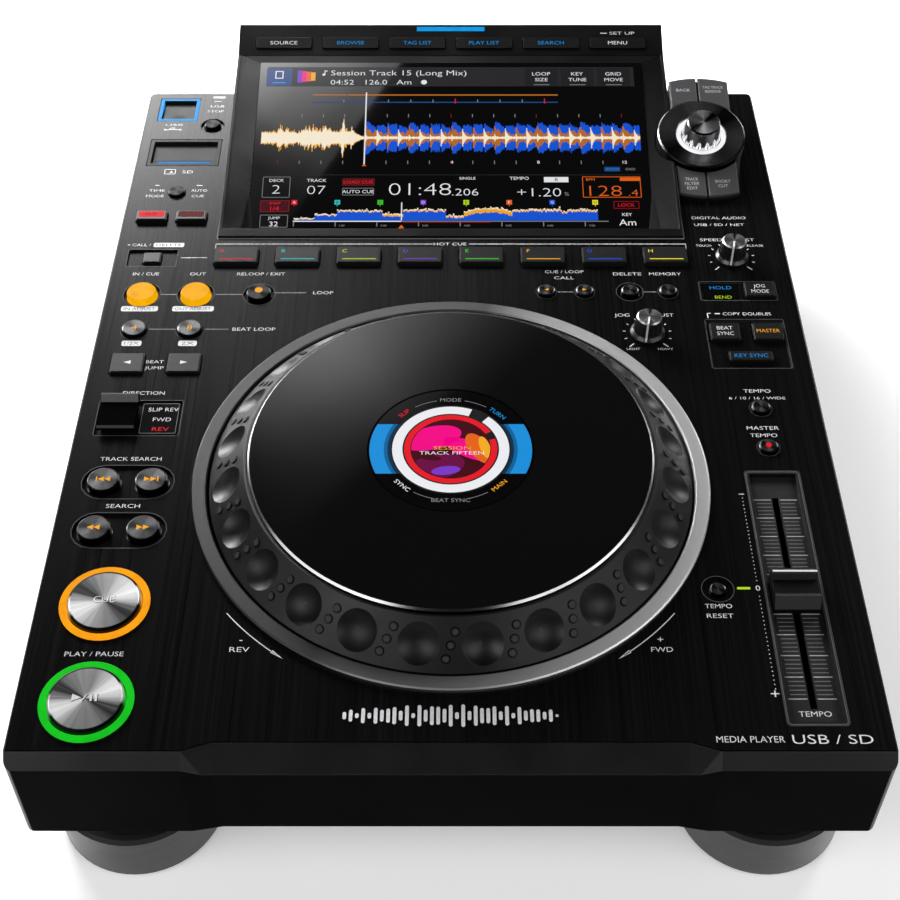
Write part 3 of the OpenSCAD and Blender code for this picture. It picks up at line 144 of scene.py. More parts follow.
class Mat(Nodes):
    """A node material"""

    def __init__(self, name, color=grey(0.02), rough=0.4, metal=0.0, spec=0.5, coat=0.0,
                 coat_rough=0.03, aniso=0.0, emit=None, power=1.0):
        self.m = bpy.data.materials.new(name)
        self.m.use_nodes = True
        super().__init__(self.m.node_tree)
        self.b = self.tree.nodes["Principled BSDF"]
        i = self.b.inputs
        i["Base Color"].default_value = (*color, 1)
        i["Roughness"].default_value = rough
        i["Metallic"].default_value = metal
        i["Specular IOR Level"].default_value = spec
        i["Coat Weight"].default_value = coat
        i["Coat Roughness"].default_value = coat_rough
        i["Anisotropic"].default_value = aniso
        if emit:
            i["Emission Color"].default_value = (*emit, 1)
            i["Emission Strength"].default_value = power
        self.color, self.rough = color, rough
        self.coord = None
        self.normal = None

    def at(self, scale=(1, 1, 1), origin=(0, 0, 0)):
        """The frame's coordinates, moved and scaled"""
        if not self.coord:
            self.coord = self.node("TexCoord")
        m = self.node("Mapping")
        m.inputs["Location"].default_value = [-o * s for o, s in zip(origin, scale)]
        m.inputs["Scale"].default_value = scale
        self.link(self.coord.outputs["Object"], m.inputs["Vector"])
        return m.outputs["Vector"]

    def noise(self, scale, detail=3.0, rough=0.55, origin=(0, 0, 0)):
        n = self.node("TexNoise", Detail=detail, Roughness=rough, Scale=1.0)
        self.link(self.at(scale, origin), n.inputs["Vector"])
        return n.outputs["Fac"]

    def tint(self, fac, dark, light):
        """Base colour from dark to light by fac"""
        self.link(self.mix(fac, dark, light), self.b.inputs["Base Color"])

    def axis(self, name, vector=None):
        n = self.node("SeparateXYZ")
        self.link(vector or self.at(), n.inputs[0])
        return n.outputs[name]

    def about(self, x, y, stretch=1):
        """The frame's coordinates about a vertical axis at a panel point, and the distance from it"""
        o = place(x, y, 0)
        at = self.at((1, stretch, 0), (o.x, o.y, 0))
        n = self.node("VectorMath", operation="LENGTH")
        self.link(at, n.inputs[0])
        return at, n.outputs["Value"]

    def noise_along(self, w, scale, detail=2.0):
        n = self.node("TexNoise", noise_dimensions="1D", Detail=detail, Scale=scale)
        self.link(w, n.inputs["W"])
        return n.outputs["Fac"]

    def shine_round(self):
        """The stretched highlight of turned metal"""
        n = self.node("Tangent", direction_type="RADIAL", axis="Z")
        self.link(n.outputs["Tangent"], self.b.inputs["Tangent"])

    def roughness(self, fac, a, b):
        self.link(self.ramp(fac, 0.3, 0.7, a, b), self.b.inputs["Roughness"])

    def bump(self, fac, depth, strength=1.0):
        n = self.node("Bump", Distance=depth, Strength=strength)
        self.link(fac, n.inputs["Height"])
        if self.normal:
            self.link(self.normal, n.inputs["Normal"])
        self.normal = n.outputs["Normal"]
        self.link(self.normal, self.b.inputs["Normal"])

    def edges(self, radius=0.0003):
        n = self.node("Bevel", samples=4)
        n.inputs["Radius"].default_value = radius
        self.normal = n.outputs["Normal"]
        self.link(self.normal, self.b.inputs["Normal"])

    def grain(self, size=0.35, depth=0.00002, vary=0.25, smudge=0.06, scale=None):
        """Moulded or blasted grain: size in mm, with colour and gloss that vary over the surface"""
        s = scale or (1 / (size * MM),) * 3
        fine = self.noise(s, 2.0)
        c = self.color
        self.tint(self.ramp(fine, 0.3, 0.7), [x * (1 - vary) for x in c], [min(1, x * (1 + vary)) for x in c])
        wide = self.noise((28, 28, 28), 4.0, origin=(3, 1, 2))
        self.roughness(wide, max(0.02, self.rough - smudge), self.rough + smudge)
        self.bump(fine, depth)
        return self

    def spun(self, x, y, pitch=0.25, depth=0.000004):
        """Fine turned rings about a vertical axis"""
        f = self.noise_along(self.about(x, y)[1], 1 / (pitch * MM))
        c = self.color
        self.tint(self.ramp(f, 0.3, 0.7), [q * 0.8 for q in c], [min(1, q * 1.2) for q in c])
        self.roughness(f, self.rough - 0.05, self.rough + 0.07)
        self.bump(f, depth)
        self.shine_round()
        return self


def plastic(name, color, rough, spec=0.4, size=0.35, edge=0.0003):
    m = Mat(name, color, rough, spec=spec)
    if edge:
        m.edges(edge)
    return m.grain(size, 0.000012)


def rgb(*c):
    """A colour as a screen shows it, 0 to 255, as light"""
    return tuple((v / 255 / 12.92) if v < 11 else ((v / 255 + 0.055) / 1.055) ** 2.4 for v in c)


def lamp(name, color, power=1.0, base=None):
    """Lit moulding: its light varies a little over the piece"""
    m = Mat(name, base or [c * 0.1 for c in color], 0.3, spec=0.02, emit=color, power=power)
    f = m.noise((160, 160, 160), 2.0)
    m.link(m.ramp(f, 0.3, 0.7, power * 0.9, power * 1.1), m.b.inputs["Emission Strength"])
    m.bump(f, 0.00001)
    return m


def ink(name, color, power=0.0, coat=0.0):
    """Printed ink, or a lit picture under glass: slightly uneven film"""
    m = Mat(name, color, 0.45, spec=0.02 if power else 0.05, emit=color if power else None, power=power, coat=coat)
    m.b.inputs["Coat IOR"].default_value = 1.9
    f = m.noise((900, 900, 900), 2.0)
    k = 0.02 if power else 1
    m.tint(m.ramp(f, 0.25, 0.75), [c * 0.86 * k for c in color], [min(1, c * 1.08) * k for c in color])
    m.bump(f, 0.000004)
    return m


M = {}
# key, name, red and green, blue, roughness, specular level, grain in mm, edge radius in m
for key, name, tone, blue, *rest in (
        ("case", "case_black", 0.004, 0.0043, 0.34, 0.42, 0.28, 0.0006),
        # front faces: a darker, duller copy of the case, painted shade
        ("front", "case_front_black", 0.0014, 0.0015, 0.5, 0.01, 0.28, 0.0006),
        ("housing", "housing_black", 0.003, 0.0032, 0.34, 0.14, 0.3, 0.0005),
        ("base", "base_steel", 0.01, 0.011, 0.5, 0.4, 0.5, 0),
        ("pod", "pod_black", 0.005, 0.0055, 0.3),
        ("key", "key_black", 0.006, 0.0064, 0.36, 0.12),
        ("rubber", "rubber_black", 0.008, 0.008, 0.6, 0.4, 0.5),
        ("hot", "hot_key_black", 0.009, 0.0095, 0.4, 0.06),
        ("knob", "knob_black", 0.006, 0.0065, 0.3, 0.6),
        # the tray's floor a lighter copy, painted light; its walls a darker one, painted shade
        ("tray", "tray_grey", 0.015, 0.016, 0.4, 0.15),
        ("tray_wall", "tray_wall_black", 0.006, 0.0064, 0.4, 0.15),
        ("fader", "fader_black", 0.004, 0.0043, 0.34, 0.12),
        # lighter copies for the fader cap's front lip and rear ridge: painted highlights
        ("fader_lip", "fader_lip_grey", 0.04, 0.041, 0.34, 0.2),
        ("fader_ridge", "fader_ridge_grey", 0.018, 0.0185, 0.34, 0.2),
        # lighter copies for the lever's lip top and front band: painted highlights
        ("lever_lip", "lever_lip_grey", 0.12, 0.122, 0.36, 0.15),
        ("lever_front", "lever_front_grey", 0.05, 0.052, 0.36, 0.1),
        ("door", "door_black", 0.016, 0.017, 0.4, 0.05),
        ("lever", "lever_black", 0.002, 0.0021, 0.5, 0),
        ("wheel", "wheel_soft_black", 0.0026, 0.0028, 0.44, 0.34, 0.25),
        ("corner", "corner_key_grey", 0.05, 0.052, 0.34, 0.3, 0.25),
        ("connector", "connector_black", 0.02, 0.02, 0.4, 0.4, 0.35, 0),
        ("door_frame", "door_frame_black", 0.01, 0.0105, 0.4, 0.05)):
    M[key] = plastic(name, grey(tone, blue), *rest)
M["board"] = plastic("board_green", (0.012, 0.1, 0.04), 0.5, 0.4, 0.6, 0)
M["steel"] = Mat("steel", grey(0.55, 0.57), 0.3, 1.0).grain(0.4, 0.00001)
M["gold"] = Mat("socket_metal", (0.75, 0.6, 0.3), 0.25, 1.0).grain(0.4, 0.00001)


def brushed_panel():
    m = Mat("panel_brushed", grey(0.006, 0.0063), 0.21, 0.0, spec=0.05, aniso=0.4)
    m.edges(0.0003)
    f = m.noise((2600, 9, 2600), 4.0, 0.62)
    g = m.noise((700, 3, 700), 2.0, 0.5, (1, 2, 3))
    both = m.add(m.mul(f, 0.65), m.mul(g, 0.35))
    m.tint(m.ramp(both, 0.3, 0.7), grey(0.0012, 0.00125), grey(0.006, 0.0062))
    m.roughness(both, 0.16, 0.26)
    m.bump(both, 0.00002, 0.6)
    return m


M["panel"] = brushed_panel()


def surround():
    """Satin ring, with a painted highlight: lighter towards its right side"""
    m = Mat("ring_satin", grey(0.2, 0.205), 0.36, 0.9, aniso=0.3)
    m.edges(0.0003)
    m.spun(0, WHEEL_Y, 0.22, 0.000002)
    y = m.sub(m.axis("Y"), place(0, WHEEL_Y, 0).y)
    # painted highlight: dark on the left, light on the right
    f = m.ramp(m.sub(m.axis("X"), m.mul(y, 0.35)), -0.02, 0.115)
    m.tint(f, grey(0.042, 0.043), grey(0.95, 0.96))
    return m


M["surround"] = surround()


def record_plate():
    """Glossy black plate with fine turned rings, and a polished rim"""
    m = Mat("plate_black", grey(0.002, 0.0021), 0.1, 0.0, spec=0.48)
    wave = m.math("SINE", m.mul(m.about(0, WHEEL_Y)[1], 2 * pi / 0.0011))
    groove = m.math("POWER", m.math("ABSOLUTE", wave), 3.0)
    m.tint(groove, grey(0.0008, 0.0009), grey(0.006, 0.0062))
    m.bump(groove, 0.000004)
    m.roughness(m.noise((20, 20, 20), 3.0), 0.04, 0.09)
    return m


M["plate"] = record_plate()


def rim():
    m = Mat("rim_polished", grey(0.9, 0.92), 0.2, 1.0, aniso=0.5).spun(0, WHEEL_Y, 0.2, 0.000002)
    # painted highlights: lighter towards the left and right sides, darker at the front and back
    m.tint(m.ramp(m.math("ABSOLUTE", m.axis("X")), 0.012, 0.06), grey(0.1, 0.102), grey(0.92, 0.94))
    return m


M["rim"] = rim()
M["glass"] = Mat("glass_black", grey(0.0005, 0.0006), 0.05, 0.0, 1.0, coat=1.0).grain(1.5, 0.000001, 0.2, 0.015)
M["glass"].b.inputs["IOR"].default_value = 1.9
M["glass"].b.inputs["Coat IOR"].default_value = 2.1
M["gloss"] = Mat("window_gloss", grey(0.002, 0.0022), 0.06, spec=0.4).grain(1.2, 0.000001, 0.2, 0.02)
M["foot"] = Mat("foot_steel", grey(0.085, 0.087), 0.3, 1.0, aniso=0.5)
M["foot"].grain(0.5, 0.000008, 0.15, 0.05, scale=(60, 60, 2600))

KEYS = dict(
    play=(-137.2, -187.5), cue=(-137.2, -141.2), track_back=(-147.4, -76.5), track_next=(-127.0, -76.5),
    search_back=(-147.4, -103.2), search_forward=(-127.0, -103.2), beat_loop_4=(-147.4, 18.6),
    beat_loop_8=(-121.6, 18.6), loop_in=(-147.3, 43.4), loop_out=(-121.7, 43.4), reloop=(-91.5, 43.4),
    time_mode=(-139.9, 121.4), usb_stop=(-127.6, 179.4), cue_call_back=(45.7, 45.2),
    cue_call_forward=(63.9, 45.2), delete=(85.6, 45.2), memory=(103.8, 45.2), tempo_range=(137.6, -32.8),
    master_tempo=(137.7, -56.6), tempo_reset=(106.8, -133.9), beat_jump_back=(-147.4, -4.8),
    beat_jump_forward=(-121.6, -4.8), slip=(-149.8, 100.6), quantize=(-130.0, 100.6), jog_mode=(147.5, 45.9),
    beat_sync=(127.5, 16.3), master=(147.5, 16.3), key_sync=(137.5, -0.3))


def turned(name, lo, hi, rough, x, y, r_top=99.0, turn=0.0, metal=1.0, stretch=1.0, edge=0.9, spec=0.5):
    """A turned metal top: painted highlights as soft rays round it over very fine rings, and a dark edge with two
    painted highlights
    """
    m = Mat(name, lo, rough, metal, spec, aniso=0.6)
    at, r = m.about(x, y, stretch)
    ang = m.math("ARCTAN2", m.axis("Y", at), m.axis("X", at))

    def waves(n, at_deg):
        return m.math("COSINE", m.mul(m.sub(ang, radians(at_deg)), float(n)))

    # painted highlight: rays of the light tone round the axis, two and four to a turn, with streaks
    ray = m.noise_along(m.math("ABSOLUTE", ang), 4.0, 3.0)
    fac = m.add(m.mul(waves(2, 72 + turn), 0.26), m.mul(waves(4, 20 + turn), 0.16))
    fac = m.add(m.add(fac, 0.4), m.mul(m.sub(ray, 0.5), 0.5))
    # painted highlights on the edge: dark, lit at two places opposite each other
    side = m.mix(m.ramp(waves(2, 12), 0.72, 0.97), [c * 0.25 for c in lo], grey(edge))
    m.tint(m.ramp(r, (r_top - 0.15) * MM, (r_top + 0.15) * MM), m.mix(m.ramp(fac, 0.0, 0.9), lo, hi), side)
    ring = m.noise_along(r, 1 / (0.08 * MM))
    m.bump(ring, 0.000001)
    m.roughness(ring, rough - 0.03, rough + 0.05)
    m.shine_round()
    return m


def dress(node, mats, pick=None):
    """Gives a CAD node its materials; pick says which one a face takes, from its middle and normal in mm"""
    o = nodes[node]
    o.data.materials.clear()
    for m in mats:
        o.data.materials.append(M[m].m if isinstance(m, str) else m.m)
    if pick:
        for p in o.data.polygons:
            c = p.center
            p.material_index = pick(c.x / MM, c.y / MM - SHIFT_Y, c.z / MM - SHIFT_Z, p.normal)
    else:
        for p in o.data.polygons:
            p.material_index = 0


def slope(name, rear, front, spec):
    """The recess's twisted side wall, shaded as one smooth surface, with painted light that changes its tone from
    rear to front
    """
    m = Mat(name, rear, 0.3, spec=spec)
    m.normal = m.node("CombineXYZ", Y=-0.235, Z=0.972).outputs[0]
    m.grain(0.3, 0.00001)
    m.tint(m.ramp(m.axis("Y"), place(0, 205, 0).y, place(0, 92, 0).y), rear, front)
    return m


# painted light: the right wall lighter towards its front, the left wall kept dark
M["slope_left"] = slope("slope_left", grey(0.004, 0.0042), grey(0.004, 0.0042), 0.45)
M["slope_right"] = slope("slope_right", grey(0.004, 0.0043), grey(0.03, 0.031), 0.06)


for mat, names in dict(
        base="bottom_plate", panel="top_panel", glass="touch_screen", surround="jog_surround",
        steel="jog_bearing case_screws", board="circuit_boards", wheel="jog_wheel", hot="hot_cue_keys",
        door="usb_cover sd_door",
        corner="back_button tag_track_button track_filter_button shortcut_button",
        key="beat_jump_back_button beat_jump_forward_button display_keys slip_button quantize_button "
            "jog_mode_button beat_sync_button master_button key_sync_button power_button "
            "call_delete_button").items():
    for name in names.split():
        dress(name, [mat])
# front faces take the darker copy: painted shade
dress("upper_case", ["case", "front"], lambda x, y, z, n: 1 if n.y < -0.95 else 0)
dress("display_housing", ["housing", "slope_left", "slope_right"],
      lambda x, y, z, n: (1 if x < 0 else 2) if 99 < abs(x) < 114 and 96 < y < 216 and -8 < z < 20
      and (n.z > 0.6 and n.y > -0.3 or abs(abs(x) - 102.8) < 0.4 and abs(n.x) > 0.9) else 0)
# the lever's up-facing lip and front band take the lighter copies: painted highlights
dress("direction_lever", ["lever", "lever_lip", "lever_front"],
      lambda x, y, z, n: 0 if n.z <= 0.3 else 1 if y > -32.9 and z > 3.9 else 2 if y < -46.8 and z > 3.2 else 0)
# the cap's front lip and rear ridge take the lighter copies: painted highlights
dress("tempo_fader", ["fader", "fader_lip", "fader_ridge"],
      lambda x, y, z, n: 1 if y < -139 and z > 2 and -0.9 < n.y < -0.1 or y < -139 and z > 5.3
      else 2 if y > -133 and z > 4.2 and n.y < 0.3 else 0)
# up-facing floor takes the lighter copy, painted light; the walls the darker one, painted shade
dress("fader_track", ["tray_wall", "tray"], lambda x, y, z, n: 1 if n.z > 0.9 and z < -2 else 0)
dress("round_display", ["gloss", "lever"], lambda x, y, z, n: 0 if n.z > 0.95 else 1)
dress("rear_connectors", ["connector", "gold"], lambda x, y, z, n: 1 if x < -60 and x > -120 and y > 212 else 0)
dress("jog_top_plate", ["plate", "rim"], lambda x, y, z, n: 1 if hypot(x, y - WHEEL_Y) > 83.2 else 0)
dress("feet", ["foot", "rubber"], lambda x, y, z, n: 1 if z < -88.6 or z > -64.9 else 0)
DARK, DARKER, DIM = grey(0.002, 0.0021), grey(0.0015, 0.0016), grey(0.06, 0.061)
# keys, dark tone and painted highlight tone, roughness, radius of the top, turn of the painted highlights, metal,
# painted highlight tone on the edge, specular level
for names, lo, hi, rough, r_top, turn, metal, edge, spec in (
        ("play", grey(0.03, 0.0305), grey(0.95), 0.34, 13.5, 0, 1.0, 0.9, 0.5),
        ("cue", grey(0.03, 0.0305), grey(0.7), 0.34, 13.5, -6, 1.0, 0.9, 0.5),
        ("track_back track_next search_back search_forward", DARK, grey(0.12, 0.122), 0.3, 6.3, 10, 0.8, 0.4, 0.5),
        ("cue_call_back cue_call_forward delete memory tempo_range master_tempo", DARK, DIM, 0.28, 3.7,
         -10, 0.8, 0.25, 0.5),
        ("tempo_reset", DARK, DIM, 0.28, 2.9, -10, 0.8, 0.25, 0.5),
        ("beat_loop_4 beat_loop_8", DARK, DIM, 0.28, 5.2, -10, 0.8, 0.25, 0.5),
        ("time_mode usb_stop", DARKER, DIM, 0.3, 3.7, -10, 0.0, 0.2, 0.02),
        ("reloop", DARKER, DIM, 0.3, 5.2, -10, 0.0, 0.2, 0.02)):
    for k in names.split():
        top = turned("turned_%s_button" % k, lo, hi, rough, *KEYS[k], r_top, turn, metal, edge=edge, spec=spec)
        dress(k + "_button", [top])
M["amber_cap"] = lamp("amber_cap", rgb(252, 178, 4), 0.9, (0.05, 0.02, 0.0))
for k in ("loop_in_button", "loop_out_button"):
    dress(k, ["amber_cap"])
M["chrome"] = Mat("chrome", grey(0.78, 0.8), 0.14, 1.0).grain(0.5, 0.000002, 0.08, 0.04)


def in_pod(x, y, z):
    """A panel point in the tilted plane of the selector"""
    c, q = cos(radians(POD_TILT)), sin(radians(POD_TILT))
    x, y, z = (a - b for a, b in zip((x, y, z), POD_AT))
    return x, y * c + z * q, z * c - y * q


TILT_STRETCH = 1.028    # one over the cosine of the pod's tilt: its circles seen from above
M["knob_top"] = turned("knob_top", grey(0.006), grey(1.0), 0.26, POD_AT[0], 150.2, 7.8, 60, stretch=TILT_STRETCH)
dress("selector_knob", ["chrome", "knob_top"], lambda x, y, z, n: 1 if in_pod(x, y, z)[2] > 10.3 else 0)
M["selector_ring"] = turned("selector_ring", DARKER, grey(0.1, 0.102), 0.26, *POD_AT[:2], 21.8, 62, 0.8,
                            TILT_STRETCH, 0.3)
dress("selector_base", ["pod", "selector_ring"],
      lambda x, y, z, n: 1 if hypot(*in_pod(x, y, z)[:2]) < 22.7 and in_pod(x, y, z)[2] > -2.3 else 0)
for k, at in KNOBS.items():
    m = turned("turned_" + k, grey(0.004, 0.0042), grey(0.75, 0.76), 0.3, *at, 9.0, 105)
    dress(k, ["knob", m], lambda x, y, z, n: 1 if z > 10.2 else 0)

# Lit pieces: one node, its solids told apart by place
M["lit_green"] = lamp("lit_green", rgb(24, 192, 34), 1.0, (0.001, 0.02, 0.002))
M["lit_amber"] = lamp("lit_amber", rgb(250, 160, 22), 1.0, (0.03, 0.012, 0.001))
M["lit_blue"] = lamp("lit_blue", rgb(18, 150, 225), 1.0, (0.0, 0.01, 0.02))
M["lit_white"] = lamp("lit_white", grey(0.9, 0.92), 0.95)


def lit_zone(x, y, z, n):
    """Which light a face has: play, cue, USB cover and strip, selector, windows; the rest are door frames"""
    if dist((x, y), KEYS["play"]) < 19:
        return 0
    if dist((x, y), KEYS["cue"]) < 19:
        return 1
    if hypot(x + 147.3, y - 194.2) < 17 and z > -1.9:
        return 2
    if y > 215:
        return 2
    if x > 110 and y > 120:
        return 3
    if y < 60 and z > -1.9:
        return 5
    return 4


dress("lit_pieces", ["lit_green", "lit_amber", "lit_blue", "lit_white", "door_frame", "gloss"], lit_zone)


# ---------- printed and lit shapes ----------
_cap = {}


def letters(s, thin=0.0):
    """The triangles of a word as flat points, one unit tall capitals, centred"""
    if (s, thin) not in _cap:
        cu = bpy.data.curves.new("word", "FONT")
        cu.body = s
        cu.align_x, cu.align_y = "CENTER", "CENTER"
        cu.resolution_u = 3
        cu.offset = -thin
        o = add("word", cu)
        me = bpy.data.meshes.new_from_object(o.evaluated_get(bpy.context.evaluated_depsgraph_get()))
        v = [(p.co.x, p.co.y) for p in me.vertices]
        f = [tuple(p.vertices) for p in me.polygons]
        bpy.data.objects.remove(o)
        bpy.data.curves.remove(cu)
        bpy.data.meshes.remove(me)
        _cap[s, thin] = (v, f)
    return _cap[s, thin]


_H = letters("H")[0]
CAP_H = max(p[1] for p in _H) - min(p[1] for p in _H)
CAP_MID = (max(p[1] for p in _H) + min(p[1] for p in _H)) / 2


class Print:
    """Flat shapes on a plane, gathered into one piece that rides a body"""

    def __init__(self, name, body, matrix, z=0.03, pre=""):
        self.bm, self.mats = bmesh.new(), []
        self.name, self.body, self.matrix, self.z, self.pre = name, body, matrix, z, pre

    def slab(self, pts, mat):
        """A face through points that have their own heights"""
        if mat not in self.mats:
            self.mats.append(mat)
        f = self.bm.faces.new([self.bm.verts.new(self.matrix @ Vector(q)) for q in pts])
        f.material_index = self.mats.index(mat)

    def face(self, pts, mat, z=None):
        h = self.z if z is None else z
        self.slab([(x, y, h) for x, y in pts], mat)

    def rect(self, x, y, w, h, mat, z=None):
        self.face([(x - w / 2, y - h / 2), (x + w / 2, y - h / 2), (x + w / 2, y + h / 2), (x - w / 2, y + h / 2)],
                  mat, z)

    def round_pts(self, x, y, w, h, r, k=4):
        pts = []
        for cx, cy, a in ((x + w / 2 - r, y + h / 2 - r, 0), (x - w / 2 + r, y + h / 2 - r, 90),
                          (x - w / 2 + r, y - h / 2 + r, 180), (x + w / 2 - r, y - h / 2 + r, 270)):
            for i in range(k + 1):
                t = radians(a + 90 * i / k)
                pts.append((cx + r * cos(t), cy + r * sin(t)))
        return pts

    def rrect(self, x, y, w, h, r, mat, z=None):
        self.face(self.round_pts(x, y, w, h, r), mat, z)

    def frame(self, x, y, w, h, t, mat, r=0.0, z=None):
        a = self.round_pts(x, y, w, h, max(r, 0.01))
        b = self.round_pts(x, y, w - 2 * t, h - 2 * t, max(r - t, 0.005))
        for i in range(len(a)):
            j = (i + 1) % len(a)
            self.face([a[i], a[j], b[j], b[i]], mat, z)

    def ring(self, x, y, r0, r1, mat, a0=0, a1=360, z=None, seg=None):
        k = seg or max(6, int(abs(a1 - a0) / 7.5))
        for i in range(k):
            t = [radians(a0 + (a1 - a0) * q / k) for q in (i, i + 1)]
            c = [(cos(q), sin(q)) for q in t]
            p = [(x + r0 * c[0][0], y + r0 * c[0][1]), (x + r1 * c[0][0], y + r1 * c[0][1]),
                 (x + r1 * c[1][0], y + r1 * c[1][1]), (x + r0 * c[1][0], y + r0 * c[1][1])]
            self.face(p if r0 > 0 else p[1:3] + [(x, y)], mat, z)

    def disc(self, x, y, r, mat, z=None, k=24):
        self.face([(x + r * cos(2 * pi * i / k), y + r * sin(2 * pi * i / k))
                   for i in range(k)], mat, z)

    def line(self, pts, w, mat, z=None):
        for (ax, ay), (bx, by) in zip(pts, pts[1:]):
            d = hypot(bx - ax, by - ay) or 1
            nx, ny = -(by - ay) / d * w / 2, (bx - ax) / d * w / 2
            self.face([(ax - nx, ay - ny), (bx - nx, by - ny), (bx + nx, by + ny), (ax + nx, ay + ny)], mat, z)

    def tri(self, x, y, w, h, mat, turn=0, z=None):
        """A triangle that points right, turned"""
        c, s = cos(radians(turn)), sin(radians(turn))
        pts = (-w / 2, -h / 2), (w / 2, 0), (-w / 2, h / 2)
        self.face([(x + a * c - b * s, y + a * s + b * c) for a, b in pts], mat, z)

    def text(self, s, x, y, h, mat, turn=0, wide=1.12, z=None, align=0, thin=0.0):
        v, f = letters(s, thin)
        k = h / CAP_H
        lo, hi = min(p[0] for p in v), max(p[0] for p in v)
        ox = (lo + hi) / 2 if align == 0 else (lo if align < 0 else hi)
        c, sn = cos(radians(turn)), sin(radians(turn))
        q = [((a - ox) * k * wide, (b - CAP_MID) * k) for a, b in v]
        q = [(x + a * c - b * sn, y + a * sn + b * c) for a, b in q]
        for poly in f:
            self.face([q[i] for i in poly], mat, z)

    def word(self, s, x, y, h, width, mat="ink_white", z=None, align=0):
        """A word fitted to its width"""
        v = letters(s)[0]
        natural = (max(q[0] for q in v) - min(q[0] for q in v)) * h / CAP_H
        self.text(s, x, y, h, mat, wide=width / natural, z=z, align=align, thin=0.006)

    def draw(self, *shapes):
        """Each shape is the name of a method here and its arguments"""
        for kind, *rest in shapes:
            getattr(self, kind)(*rest)
        return self

    def done(self):
        me = bpy.data.meshes.new(self.name)
        bmesh.ops.recalc_face_normals(self.bm, faces=self.bm.faces)
        up = self.matrix.to_3x3() @ Vector((0, 0, 1))
        for f in self.bm.faces:
            f.normal_update()
            if f.normal.dot(up) < 0:
                f.normal_flip()
        self.bm.to_mesh(me)
        self.bm.free()
        for m in self.mats:
            me.materials.append(M[self.pre + m if self.pre + m in M else m].m)
        o = add(self.name, me)
        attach(o, self.body)


for name, tone in dict(
        ink_white=(0.64, 0.66), ink_grey=(0.3, 0.31), ink_key=(0.5, 0.51), ink_dim=(0.12, 0.125),
        ink_black=(0.004, 0.004), edge_line=(0.05, 0.052), edge_dark=(0.0015, 0.0016),
        edge_light=(0.24, 0.245), edge_tray=(0.1, 0.102), scale_light=(0.36, 0.37),
        scale_dim=(0.12, 0.122)).items():
    M[name] = ink(name, grey(*tone))
for name, color in dict(
        white=(232, 234, 238), grey=(128, 128, 130), bar=(38, 38, 41), tile=(30, 30, 32), red=(226, 24, 40),
        dark_red=(135, 14, 22), amber=(240, 168, 36), orange=(226, 98, 24), blue=(18, 84, 214), sky=(26, 140, 214),
        sky_2=(16, 96, 150), sky_3=(8, 48, 80), cyan=(44, 190, 190), green=(60, 196, 44), lime=(176, 214, 26),
        violet=(120, 56, 196), yellow=(236, 222, 40), pink=(240, 0, 132), brown=(184, 108, 34),
        cream=(250, 238, 212), wine=(66, 4, 18), plum=(104, 8, 66), deep=(30, 66, 128),
        maroon=(84, 12, 14)).items():
    name = "glow_" + name
    M[name] = ink(name, rgb(*color), 1)
    M["glass_" + name] = ink("glass_" + name, rgb(*color), 1, coat=1.0)


